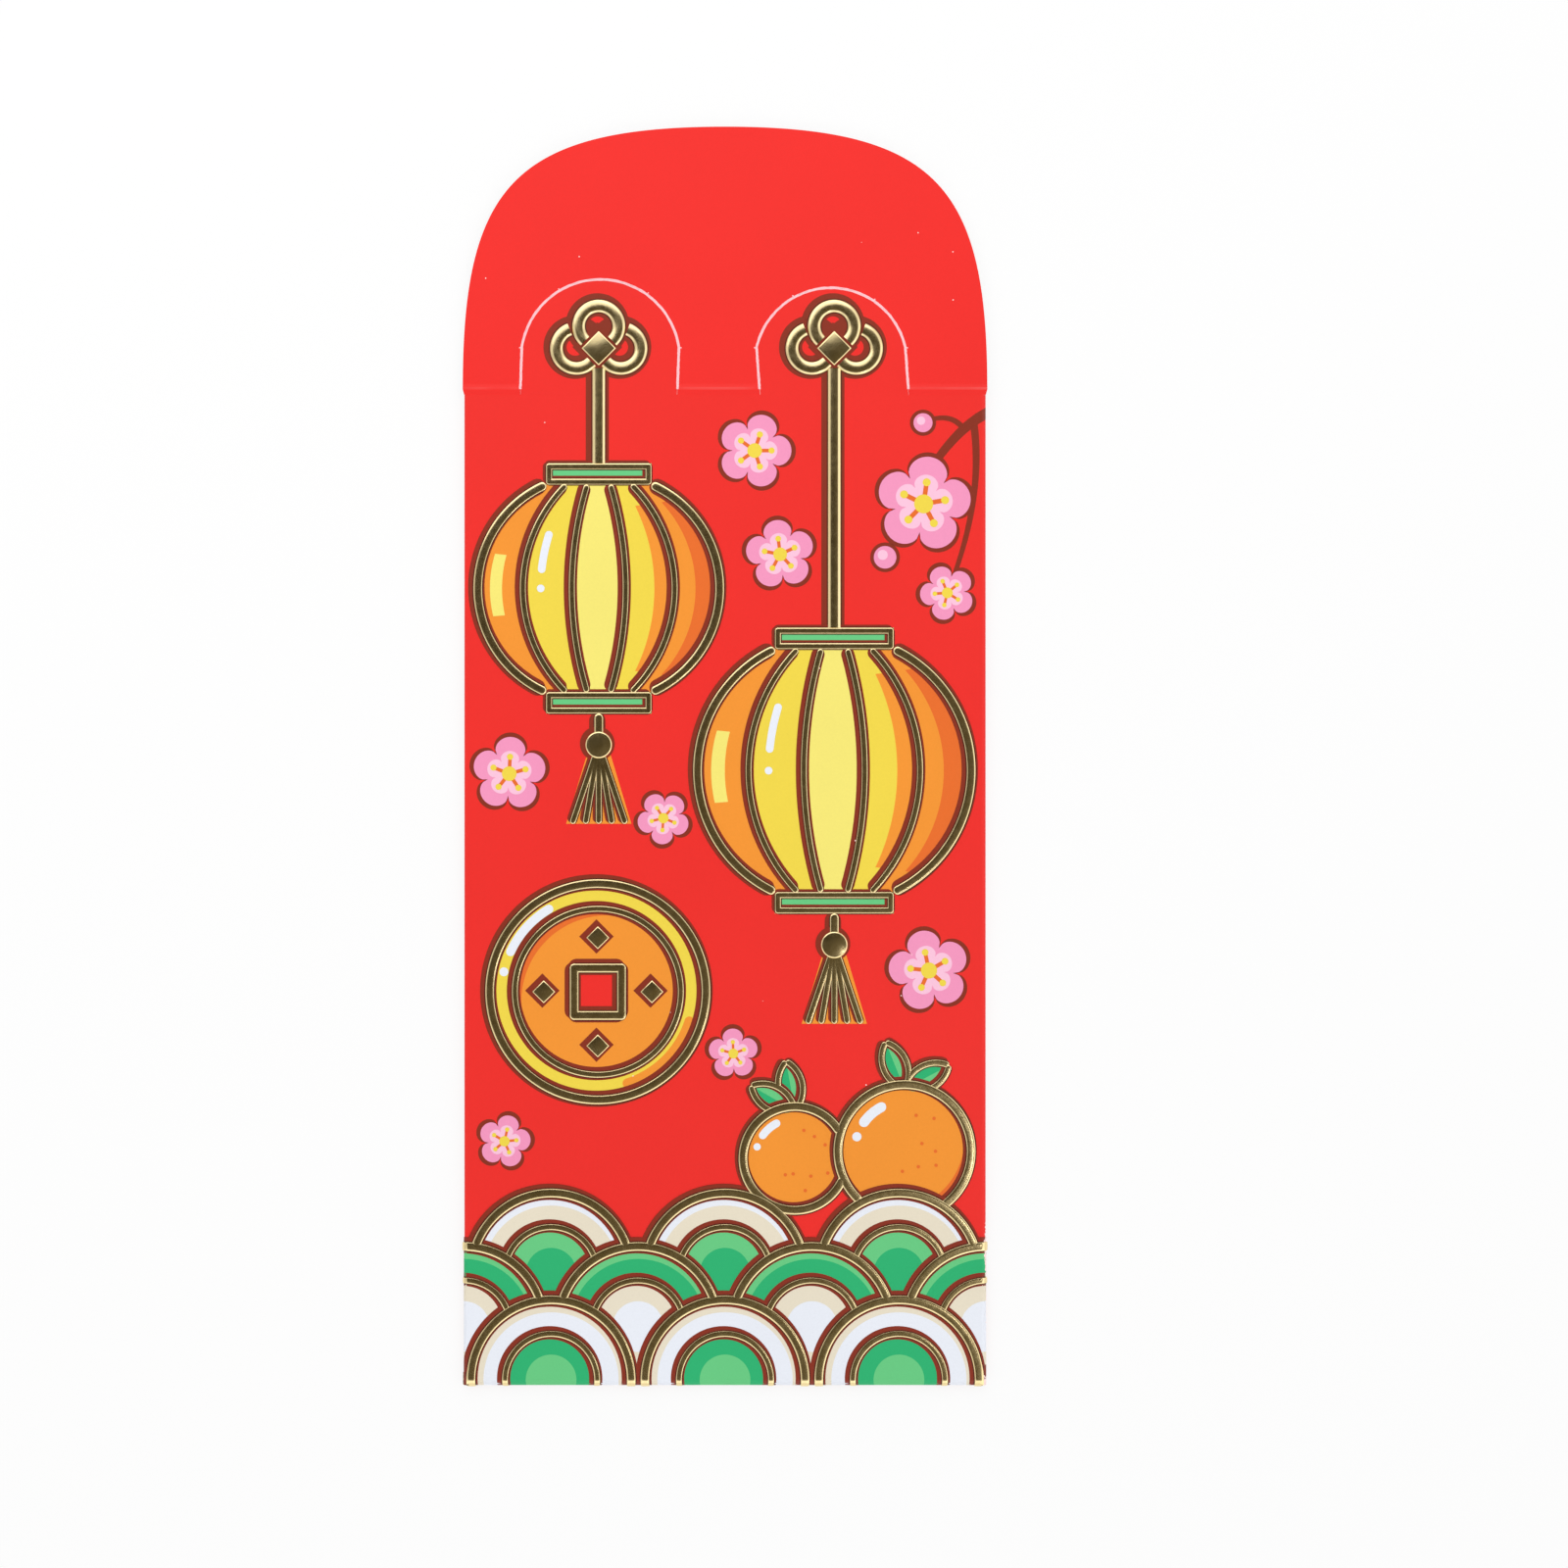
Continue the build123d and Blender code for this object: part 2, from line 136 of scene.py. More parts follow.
def paper_grain_group():
    """Fine fibre and soft cloudiness of card: a tone near 1 and a height for bump."""
    inputs = {"Fibres per metre": 2600, "Clouds per metre": 55, "Cloudiness": 0.03}
    tree, given, result = node_group("paper grain", inputs, ("Tone", "Height"))
    place = position(tree)
    fibre = noise(tree, place, given["Fibres per metre"], 4.0)
    cloud = noise(tree, place, given["Clouds per metre"], 3.0)
    centred = maths(tree, "ADD", maths(tree, "ADD", fibre, cloud), -1.0)
    tree.links.new(maths(tree, "MULTIPLY_ADD", centred, given["Cloudiness"], 1.0), result["Tone"])
    tree.links.new(fibre, result["Height"])
    return tree


def wear_and_crease_highlight_group():
    """Print rubbed off the right fold and the lower right corner, white specks, and a faint pale streak along
    the crease that is a painted highlight.
    """
    inputs = {"Rub width": 0.50 * mm, "Corner": 1.5 * mm, "Speck": 0.018, "Crease highlight": 0.0}
    nibbles_per_metre, patches_per_metre, specks_per_metre = 1500.0, 75.0, 160.0
    edge_fade, patch_weight, spared_weight, edge_start = -0.45, 1.6, -0.5, -1.36
    corner_fade, nibble_weight, corner_start = -0.55, 1.3, -0.08
    rubbed_to, clean_from, soft_rim = 26 * mm, 60 * mm, 0.12
    crease_highlight_y, crease_highlight_half = front_high.y + 1.1 * mm, 0.22 * mm
    streak_low, streak_high = 0.35, 0.75
    tree, given, result = node_group("fold wear and crease highlight", inputs, ("Wear and crease highlight",))
    place = position(tree)
    axes = node(tree, "SeparateXYZ", {0: place}).outputs
    nibbles = noise(tree, place, nibbles_per_metre, 4.0)
    patches = noise(tree, place, patches_per_metre, 2.0)

    def weighed(value, weight, rest):
        return maths(tree, "MULTIPLY_ADD", value, weight, rest)

    from_edge = weighed(axes["X"], -1.0, right_edge_x)
    from_bottom = weighed(axes["Y"], 1.0, -bottom_edge_y)
    spared = weighed(ramp(tree, from_bottom, rubbed_to, clean_from), spared_weight, edge_start)
    edge_rub = weighed(patches, patch_weight, weighed(nibbles, 1.0, spared))
    edge_rub = weighed(maths(tree, "DIVIDE", from_edge, given["Rub width"]), edge_fade, edge_rub)
    reach = node(tree, "CombineXYZ", {"X": from_edge, "Y": from_bottom}).outputs[0]
    away = node(tree, "VectorMath", {0: reach}, operation="LENGTH").outputs["Value"]
    corner_rub = weighed(nibbles, nibble_weight, corner_start)
    corner_rub = weighed(maths(tree, "DIVIDE", away, given["Corner"]), corner_fade, corner_rub)
    rubbed = ramp(tree, maths(tree, "MAXIMUM", edge_rub, corner_rub), 0.0, soft_rim)
    specks = node(tree, "TexVoronoi", {"Vector": place, "Scale": specks_per_metre}).outputs["Distance"]
    pale_mask = maths(tree, "MAXIMUM", rubbed, maths(tree, "LESS_THAN", specks, given["Speck"]))
    # Painted highlight: a faint pale streak along the crease bead, mixed into the same mask as the wear
    on_crease = maths(tree, "COMPARE", axes["Y"], crease_highlight_y, crease_highlight_half)
    crease_highlight = maths(tree, "MULTIPLY", on_crease, ramp(tree, patches, streak_low, streak_high))
    tree.links.new(weighed(crease_highlight, given["Crease highlight"], pale_mask), result["Wear and crease highlight"])
    return tree


paper_grain = paper_grain_group()
wear_and_crease_highlight = wear_and_crease_highlight_group()
# The pale pink of rubbed card, also used for the painted highlight along the crease
rub_and_highlight_shade = (*colour(255, 226, 222), 1)


def new_finish(name):
    """An empty material and its nodes."""
    made = bpy.data.materials.new(name)
    made.use_nodes = True
    made.node_tree.nodes.clear()
    return made, made.node_tree


def grained(tree, shade, cloudiness, fibres):
    """A shade on the grain of card, and the height of that grain."""
    inputs = {"Cloudiness": cloudiness, "Fibres per metre": fibres}
    grain = node(tree, "Group", inputs, node_tree=paper_grain).outputs
    factors = {0: colour(*shade), "Scale": grain["Tone"]}
    return node(tree, "VectorMath", factors, operation="SCALE").outputs[0], grain["Height"]


def skin(tree, shade, height, relief, depth, rough, rough_swing, constants):
    """Ends a material in one shader. A fine height gives it relief and swings its roughness."""
    swung = maths(tree, "MULTIPLY_ADD", height, rough_swing, rough - rough_swing / 2)
    bump = node(tree, "Bump", {"Strength": relief, "Distance": depth, "Height": height}).outputs[0]
    values = {"Base Color": shade, "Roughness": swung, "Normal": bump, **constants}
    node(tree, "OutputMaterial", {0: node(tree, "BsdfPrincipled", values).outputs[0]})


def printed(name, shade, rough=0.50, crease_highlight=0.0):
    """Ink on coated card under a thin satin varnish, pale where it is rubbed off and along a painted
    highlight on the crease.
    """
    made, tree = new_finish(name)
    toned, height = grained(tree, shade, cloudiness=0.07, fibres=2600)
    pale_mask = node(tree, "Group", {"Crease highlight": crease_highlight}, node_tree=wear_and_crease_highlight).outputs["Wear and crease highlight"]
    skin(tree, mixed(tree, pale_mask, toned, rub_and_highlight_shade), height, relief=0.06, depth=0.02 * mm,
         rough=rough, rough_swing=0.12,
         constants={"Specular IOR Level": 0.30, "Coat Weight": 0.06, "Coat Roughness": 0.25})
    return made


def plain_card(name, shade, cloudiness):
    """Unprinted card, soft and matt, with its fibres showing."""
    made, tree = new_finish(name)
    toned, height = grained(tree, shade, cloudiness, fibres=1700)
    skin(tree, toned, height, relief=0.15, depth=0.03 * mm, rough=0.75, rough_swing=0.2,
         constants={"Specular IOR Level": 0.25})
    return made


red_print = printed("red print", (237, 37, 30))
bare_card = plain_card("bare card", (240, 237, 230), 0.08)
cut_edge = plain_card("cut edge", (255, 196, 202), 0.25)


def only(piece):
    """Makes one object the selected and active one."""
    bpy.ops.object.select_all(action="DESELECT")
    piece.select_set(True)
    bpy.context.view_layer.objects.active = piece


def edit(piece):
    """Opens one object in edit mode, with all of it selected."""
    only(piece)
    bpy.ops.object.mode_set(mode="EDIT")
    bpy.ops.mesh.select_all(action="SELECT")


def meets(value, place):
    """Whether a coordinate lies at a place."""
    return abs(value - place) < near


def pick_edges(test):
    """In edit mode, selects the edges whose middle passes the test, and nothing else."""
    bpy.ops.mesh.select_mode(type="EDGE")
    bpy.ops.mesh.select_all(action="DESELECT")
    mesh = bmesh.from_edit_mesh(bpy.context.object.data)
    for edge in mesh.edges:
        if test((edge.verts[0].co + edge.verts[1].co) / 2):
            edge.select_set(True)
    bmesh.update_edit_mesh(bpy.context.object.data)


def push(x, y, z):
    """Extrudes the picked edges by a step."""
    bpy.ops.mesh.extrude_region_move(TRANSFORM_OT_translate={"value": (x, y, z)})


def roll(angle, axis, centre):
    """Rolls the picked edges over in a round fold."""
    bpy.ops.mesh.spin(steps=fold_steps, angle=angle, axis=axis, center=centre)


bpy.ops.object.select_all(action="DESELECT")
bpy.ops.mesh.primitive_plane_add(size=1, location=(front_middle.x, front_middle.y, face_z))
pocket = bpy.context.object
pocket.name = "pocket"
pocket.scale = (front_width, front_length, 1)
bpy.ops.object.transform_apply(location=True, rotation=True, scale=True)
edit(pocket)
bpy.ops.mesh.bisect(plane_co=(0, back_high.y, 0), plane_no=along_y)

# Left fold and the seam tab behind it
pick_edges(lambda m: meets(m.x, front_low.x))
roll(math.pi, along_y, (front_low.x, 0, face_z - left_radius))
pick_edges(lambda m: meets(m.x, front_low.x) and meets(m.z, seam_low.z) and m.y < back_high.y)
push(seam_high.x - seam_low.x, 0, 0)
seam_middle, seam_length = (back_high.y + front_low.y) / 2, back_high.y - front_low.y
bpy.ops.transform.resize(value=(1, 1 - 2 * seam_taper / seam_length, 1), center_override=(0, seam_middle, 0))

# Right fold and the back panel
pick_edges(lambda m: meets(m.x, front_high.x))
roll(-math.pi, along_y, (front_high.x, 0, face_z - right_radius))
pick_edges(lambda m: meets(m.x, front_high.x) and meets(m.z, back_low.z) and m.y < back_high.y)
push(back_low.x - front_high.x, 0, 0)

# Bottom fold and the flap over the back
pick_edges(lambda m: meets(m.y, front_low.y) and meets(m.z, face_z) and front_low.x < m.x < front_high.x)
roll(-math.pi, along_x, (0, front_low.y, face_z - bottom_radius))
pick_edges(lambda m: meets(m.y, front_low.y) and meets(m.z, bottom_flap_low.z))
push(0, bottom_flap_high.y - bottom_flap_low.y, 0)
bpy.ops.transform.resize(value=(1 - 2 * bottom_flap_taper / front_width, 1, 1),
                         center_override=(front_middle.x, 0, 0))
bpy.ops.mesh.select_mode(type="VERT")
bpy.ops.mesh.bevel(offset=bottom_flap_corner, segments=corner_steps, affect="VERTICES")

# The side folds run down to the bottom edge
for side_x in (front_low.x, front_high.x):
    outward = math.copysign(1, side_x)
    pick_edges(lambda m: meets(m.y, front_low.y) and (m.x - side_x) * outward > near)
    push(0, bottom_edge_y - front_low.y, 0)
bpy.ops.object.mode_set(mode="OBJECT")

for finish in (red_print, bare_card, cut_edge):
    pocket.data.materials.append(finish)
wall = pocket.modifiers.new("card", "SOLIDIFY")
wall.thickness = card
wall.offset = -1
wall.use_even_offset = True
wall.material_offset = 1
wall.material_offset_rim = 2
only(pocket)
bpy.ops.object.modifier_apply(modifier="card")
bpy.ops.object.shade_smooth_by_angle(angle=smooth_angle)
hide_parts("front_panel", "left_side_fold", "right_side_fold", "bottom_fold", "seam_tab",
            "back_panel", "bottom_flap")
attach(pocket, "envelope")

# Glue
# Two thin films of white glue, dried hard between the card layers. They hold the seam and the
# bottom flap, and hardly show from outside.
dried_glue = plain_card("dried glue", (232, 222, 196), 0.12)
for glue_film in ("seam_glue", "bottom_flap_glue"):
    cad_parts[glue_film].data.materials.clear()
    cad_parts[glue_film].data.materials.append(dried_glue)

# Flap
# The rounded end of the same sheet, open and lying flat. Two arched slits are die-cut in it, and the
# cutting rule has pressed the white core of the card up along both sides of each slit.
crease_low, crease_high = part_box("flap_crease_middle")
tip_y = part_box("top_flap")[1].y
lower_score = crease_low.y + card / 2
upper_score = crease_high.y - card / 2
crease_y = (lower_score + upper_score) / 2
crease_top = 2 * crease_y - front_high.y
hinge_z = face_z - card / 2
flap_overhang = 0.25 * mm
flap_half = right_edge_x + flap_overhang
side_handle_share, top_handle_share = 0.76, 0.82
path_step = 0.2 * mm
tab_leg, arch_steps = 7.0 * mm, 64
tab_leans = {"left_pop_up_tab": 0.70 * mm, "right_pop_up_tab": -1.35 * mm}
slit, slit_gap = 0.50 * mm, 0.10 * mm
flap_grow, tab_grow = slit / 2 + slit_gap / 2, slit / 2 - slit_gap / 2
burr_width, burr_rise, burr_ragged = 0.20 * mm, 0.05 * mm, 0.35
burr_inset = burr_width / 3
nick_length, nick_steps = 0.42 * mm, (0, 20, 46)
crease_bead, bead_steps = 0.10 * mm, 8
bend, bend_steps = lower_score - front_high.y, 8
tip_angles = (12, 30, 50, 70, 90)
# The flap and crease strips are printed a shade lighter red than the pocket, painted light for the flap's
# lighter look, and carry the faint painted highlight along the crease
scored_print_painted_lighter = printed("scored red print painted lighter", (239, 36, 30), crease_highlight=0.07)


def arc(start, via, end, steps):
    """Points on the circle arc from start through via to end."""
    a, b, c = (complex(*point) for point in (start, via, end))
    w = (c - a) / (b - a)
    centre = a + (b - a) * (w - abs(w)**2) / (2j * w.imag)
    first, middle, last = (cmath.phase(p - centre) for p in (a, b, c))
    turn = 2 * math.pi
    sweep = (last - first) % turn
    if (middle - first) % turn > sweep:
        sweep -= turn
    points = [centre + cmath.rect(abs(a - centre), first + sweep * i / steps) for i in range(steps + 1)]
    return [(p.real, p.imag) for p in points]


def straight(start, end, step=path_step):
    """Evenly spaced points on a line."""
    count = max(1, round(math.dist(start, end) / step))
    return [tuple(a + (b - a) * i / count for a, b in zip(start, end)) for i in range(count + 1)]


def bezier(a, b, c, d, steps=60):
    """Points on a cubic curve."""
    made = []
    for i in range(steps + 1):
        t = i / steps
        shares = ((1 - t)**3, 3 * t * (1 - t)**2, 3 * t**2 * (1 - t), t**3)
        made.append(tuple(sum(s * p[k] for s, p in zip(shares, (a, b, c, d))) for k in (0, 1)))
    return made


def arch(tab, grow, bottom_y):
    """Outline of a leaning tab from its left foot over the top to its right foot, grown all round."""
    low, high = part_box(tab)
    leg_top, lean = crease_y + tab_leg, tab_leans[tab]
    leg_lean = lean * tab_leg / (high.y - crease_y)
    middle = (low.x + high.x - leg_lean) / 2
    half = (high.x - low.x - abs(leg_lean)) / 2 + grow
    foot_lean = leg_lean * (bottom_y - lower_score) / (leg_top - lower_score)
    left_foot, right_foot = ((middle + reach + foot_lean, bottom_y) for reach in (-half, half))
    left_shoulder, right_shoulder = ((middle + reach + leg_lean, leg_top) for reach in (-half, half))
    over = arc(left_shoulder, (middle + lean, high.y + grow), right_shoulder, arch_steps)
    return straight(left_foot, left_shoulder)[:-1] + over + straight(right_shoulder, right_foot)[1:]


def drawn_mesh(name, paths, **settings):
    """A mesh made from a flat curve, with its points merged. A path is (points, closed, radii)."""
    drawn = bpy.data.curves.new(name, "CURVE")
    drawn.dimensions = "2D"
    for setting, value in settings.items():
        setattr(drawn, setting, value)
    for points, closed, radii in paths:
        spline = drawn.splines.new("POLY")
        spline.points.add(len(points) - 1)
        for point, (x, y), radius in zip(spline.points, points, radii):
            point.co = (x, y, 0, 1)
            point.radius = radius
        spline.use_cyclic_u = closed
    piece = bpy.data.objects.new(name, drawn)
    bpy.context.collection.objects.link(piece)
    only(piece)
    bpy.ops.object.convert(target="MESH")
    piece = bpy.context.object
    edit(piece)
    bpy.ops.mesh.remove_doubles(threshold=near / 4)
    bpy.ops.mesh.normals_make_consistent(inside=False)
    bpy.ops.object.mode_set(mode="OBJECT")
    return piece


def filled(name, loops, **settings):
    """A flat mesh inside closed outlines. An outline inside another is a hole."""
    paths = [(loop, True, [1] * len(loop)) for loop in loops]
    return drawn_mesh(name, paths, fill_mode="BOTH", **settings)


def merge(name, parts):
    """Joins pieces into one."""
    bpy.ops.object.select_all(action="DESELECT")
    for part in parts:
        part.select_set(True)
    bpy.context.view_layer.objects.active = parts[0]
    if len(parts) > 1:
        bpy.ops.object.join()
    parts[0].name = name
    parts[0].data.name = name
    return parts[0]


def cut_rows(along, rows, **trim):
    """In edit mode, cuts rows of points across a piece, so that it can bend there."""
    for row in rows:
        bpy.ops.mesh.select_all(action="SELECT")
        bpy.ops.mesh.bisect(plane_co=tuple(row * n for n in along), plane_no=along, **trim)


def cut_card(name, outline, rows, face_print):
    """A flat piece of the card, red on its face, white behind and pale along its cut edge."""
    piece = filled(name, [outline], extrude=card / 2)
    edit(piece)
    cut_rows(along_y, rows)
    bpy.ops.object.mode_set(mode="OBJECT")
    for vertex in piece.data.vertices:
        vertex.co.z += hinge_z
    for finish in (face_print, bare_card, cut_edge):
        piece.data.materials.append(finish)
    for face in piece.data.polygons:
        face.material_index = 0 if face.normal.z > 0.5 else 1 if face.normal.z < -0.5 else 2
    return piece


def lift_crease(piece):
    """Raises the low rounded bead that the scoring leaves along the crease."""
    for vertex in piece.data.vertices:
        share = (vertex.co.y - crease_y) / (crease_y - front_high.y)
        if abs(share) < 1:
            vertex.co.z += crease_bead * (1 - share**2) ** 2


def bead_rows(start, end):
    """Rows of points up or down one side of the bead, the first left out."""
    return [start + (end - start) * i / bead_steps for i in range(1, bead_steps + 1)]


def bend_rows(score):
    """Rows of points where the card bends at a score."""
    return [score + bend * (2 * i / bend_steps - 1) for i in range(bend_steps + 1)]


def stations(points, half_width):
    """An open path with more points near both ends, and the radii that round its tips."""
    lengths = [0]
    for a, b in zip(points, points[1:]):
        lengths.append(lengths[-1] + math.dist(a, b))
    total = lengths[-1]
    under_half = total / 2.1
    tip = min(half_width, under_half)
    angles = [math.radians(a) for a in tip_angles]
    marks = [(tip * (1 - math.cos(a)), math.sin(a)) for a in angles]
    marks += [(total - d, r) for d, r in marks] + [(d, 1) for d in lengths if tip < d < total - tip]
    distances, radii = zip(*sorted(marks))
    return list(zip(*(np.interp(distances, lengths, axis) for axis in zip(*points)))), radii


def raised_lines(name, paths, width, rise, base_z, finish, blunt=False, ragged=0.0, crown=2, facets=7):
    """Low ridges along flat paths, each with a flat underside. A path is (points, closed), and a crown of 2
    is round while a higher one is flatter on top."""
    chance = random.Random(name)
    shaped = []
    for points, closed in paths:
        radii = [1.0] * len(points)
        if not closed and not blunt:
            points, radii = stations(points, width / 2)
        if ragged:
            radii = [r * (1 + ragged * (2 * chance.random() - 1)) for r in radii]
        shaped.append((points, closed, radii))
    piece = drawn_mesh(name, shaped, fill_mode="NONE", bevel_depth=width / 2, bevel_resolution=facets,
                       use_fill_caps=True)
    for vertex in piece.data.vertices:
        share = min(1.0, max(0.0, vertex.co.z) * 2 / width)
        vertex.co.z = base_z + rise * (1 - (1 - share**2) ** (crown / 2)) ** (1 / crown)
    piece.data.materials.append(finish)
    bpy.ops.object.shade_smooth_by_angle(angle=smooth_angle)
    return piece


def burr(name, paths):
    """The ragged white lip that the cutting rule leaves along a slit."""
    return raised_lines(name, paths, burr_width, burr_rise, face_z, cut_edge, ragged=burr_ragged)


handle_y = crease_y + (tip_y - crease_y) * side_handle_share
handle_x = flap_half * top_handle_share
left_edge = bezier((-flap_half, crease_y), (-flap_half, handle_y), (-handle_x, tip_y), (0, tip_y))
right_edge = [(-x, y) for x, y in reversed(left_edge)]
left_notch, right_notch = (arch(tab, flap_grow, crease_y) for tab in tab_leans)
flap_outline = left_edge[:-1] + right_edge + right_notch[::-1] + left_notch[::-1]
flap_card = cut_card("flap", flap_outline, bead_rows(crease_y, crease_top) + bend_rows(upper_score),
                     scored_print_painted_lighter)
leg_points = round(tab_leg / path_step)
burr_paths = []
for tab in tab_leans:
    slit_edge, beyond = (arch(tab, flap_grow + reach, crease_y) for reach in (burr_inset, nick_length))
    burr_paths.append((slit_edge, False))
    for i in [leg_points + step for step in nick_steps] + [len(slit_edge) - leg_points - 1]:
        burr_paths.append(([slit_edge[i], beyond[i]], False))
flap = merge("flap", [flap_card, burr("flap burr", burr_paths)])
lift_crease(flap)
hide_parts("top_flap")
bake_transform(flap)

# Crease
# Two scores pressed side by side across the card, with a slightly raised bead between them. The
# slits cut the bead into three lengths, and the card bends along both scores.
crease_gap = 0.03 * mm
bead_foot, bead_top = 4, 7
crease_ends = [(left_edge_x, left_edge_x - flap_overhang)]
for tab in tab_leans:
    low_feet, high_feet = (arch(tab, tab_grow + crease_gap, y) for y in (front_high.y, crease_y))
    crease_ends += [(low_feet[end][0], high_feet[end][0]) for end in (0, -1)]
crease_ends.append((right_edge_x, right_edge_x + flap_overhang))
score_rows = bend_rows(lower_score)[1:]
for i, side in enumerate(("left", "middle", "right")):
    (low_start, high_start), (low_end, high_end) = crease_ends[2 * i:2 * i + 2]
    outline = [(low_start, front_high.y), (low_end, front_high.y),
               (high_end, crease_y), (high_start, crease_y)]
    rows = score_rows + bead_rows(front_high.y, crease_y)[bead_foot:bead_top]
    strip = cut_card(f"crease_{side}", outline, rows, scored_print_painted_lighter)
    lift_crease(strip)
    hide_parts(f"flap_crease_{side}")
    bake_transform(strip)

# Pop-up tabs
# Two arched tongues that the slits leave on the front of the pocket. They bend up or back from the
# card along the lower score, and stay standing when the flap is folded over.
for side in ("left", "right"):
    tab_node = f"{side}_pop_up_tab"
    tab_card = cut_card(f"{side}_tab", arch(tab_node, tab_grow, front_high.y), score_rows, red_print)
    tab_burr = burr("tab burr", [(arch(tab_node, tab_grow - burr_inset, crease_y), False)])
    tab = merge(f"{side}_tab", [tab_card, tab_burr])
    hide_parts(tab_node)
    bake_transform(tab)

# Waves
# Three rows of scallops printed in flat inks across the foot of the front, each outlined in brown and
# then hot-stamped with raised gold foil. The print runs over the side and bottom folds.
ink_step, ink_film, first_step = 0.010 * mm, 0.006 * mm, 0.4
foil_bold, foil_line, foil_fine = 2.2 * mm, 1.5 * mm, 1.0 * mm
foil_rise_share = 0.14
round_crown, flat_crown = 2.5, 4.5
brown_margin, brown_shift = 0.62 * mm, (-0.24 * mm, 0.20 * mm)
edge_shade_margin, edge_shade_lift = 0.16 * mm, 0.4
bleed_angle, bleed_rows = math.radians(100), 7
folds = ((along_x, -1, front_low.x, left_radius), (along_x, 1, front_high.x, right_radius),
         (along_y, -1, front_low.y, bottom_radius))
wave_count, wave_rows = 3, 3
wave_pitch = (right_edge_x - left_edge_x) / wave_count
wave_gap, wave_row_step = 0.8 * mm, 9.0 * mm
wave_radius = (wave_pitch - wave_gap) / 2
wave_inner = 0.58
wave_bands = (1.0, 0.80, wave_inner, 0.30)
wave_level = 7
ring_steps, trial_steps = 180, 360
brown_ink = printed("brown ink", (136, 46, 26), rough=0.38)
# Painted shade: a dark brown film laid in hairlines along the edges of the raised foil, where those edges
# would be shaded
edge_shade_ink = printed("painted edge shade", (80, 32, 14), rough=0.38)
green_ink = printed("green ink", (102, 202, 130))
deep_green_ink = printed("deep green ink", (36, 178, 112))
cream_ink = printed("cream ink", (232, 222, 200))
white_ink = printed("white ink", (234, 238, 247))

# Foil is a thin bright metal skin, slightly rippled where it was pressed
gold_foil, tree = new_finish("gold foil")
light_gold, dark_gold = (0.95, 0.78, 0.43, 1), (0.87, 0.69, 0.35, 1)
ripples_per_metre, drifts_per_metre = 900.0, 60.0
ripple = noise(tree, position(tree), ripples_per_metre, 2.0)
drift = noise(tree, position(tree), drifts_per_metre, 2.0)
skin(tree, mixed(tree, drift, light_gold, dark_gold), ripple, relief=0.12, depth=0.05 * mm,
     rough=0.16, rough_swing=0.10, constants={"Metallic": 1.0})


def level_z(level):
    """Height of a layer of ink, counted from the card up."""
    return face_z + ink_step * (level + first_step)


def film(loops, level, finish):
    """A thin flat layer of ink inside closed outlines."""
    piece = filled("ink", loops, extrude=ink_film / 2)
    for vertex in piece.data.vertices:
        vertex.co.z += level_z(level) + ink_film / 2
    piece.data.materials.append(finish)
    return piece


def moved(place, shift):
    """A point after a step sideways."""
    return (place[0] + shift[0], place[1] + shift[1])


def around(place, radius, degrees):
    """The point at an angle round a place."""
    angle = math.radians(degrees)
    return moved(place, (radius * math.cos(angle), radius * math.sin(angle)))


def circle(place, radius, steps=96):
    """Points round a circle."""
    return [around(place, radius, 360 * i / steps) for i in range(steps)]


def by_width(lines):
    """Lines, each (points, closed, width), put together by their widths."""
    for width in sorted({line[2] for line in lines}):
        yield width, [(points, closed) for points, closed, wide in lines if wide == width]


def brown_lines(lines, level, margin=brown_margin, shift=brown_shift, blunt=False, ink=brown_ink):
    """Printed outlines under the foil, wider than it and a little out of register; also used for painted
    shade along its edges.
    """
    made = []
    for width, paths in by_width(lines):
        shifted = [([moved(p, shift) for p in points], closed) for points, closed in paths]
        made.append(raised_lines("brown line", shifted, width + 2 * margin, ink_film, level_z(level), ink,
                                 blunt, facets=2))
    return made


def painted_edge_shades(lines, level, blunt=False):
    """Painted shade: dark hairlines along foil lines of the given level, where the raised foil's edge would
    be shaded.
    """
    return brown_lines(lines, level - edge_shade_lift, edge_shade_margin, (0, 0), blunt, edge_shade_ink)


def foil_lines(lines, level, blunt=False):
    """Raised foil lines."""
    made = []
    for width, paths in by_width(lines):
        crown = round_crown if width == foil_bold else flat_crown
        made.append(raised_lines("foil line", paths, width, width * foil_rise_share, level_z(level),
                                 gold_foil, blunt, crown=crown))
    return made


def shown_lines(points, closed, width, hidden):
    """The stretches of a line that nothing nearer hides, as lines."""
    shown = [not hidden(p) for p in points]
    if closed and all(shown):
        return [(points, True, width)]
    if closed and any(shown):
        first = next(i for i in range(len(points)) if shown[i] and not shown[i - 1])
        points = points[first:] + points[:first]
    runs = [[]]
    for point in points:
        if hidden(point):
            runs.append([])
        else:
            runs[-1].append(point)
    return [(run, False, width) for run in runs if len(run) > 2]


def in_any(discs):
    """A test for points inside one of several discs, each (place, radius)."""
    return lambda p: any(math.dist(p, place) < radius for place, radius in discs)


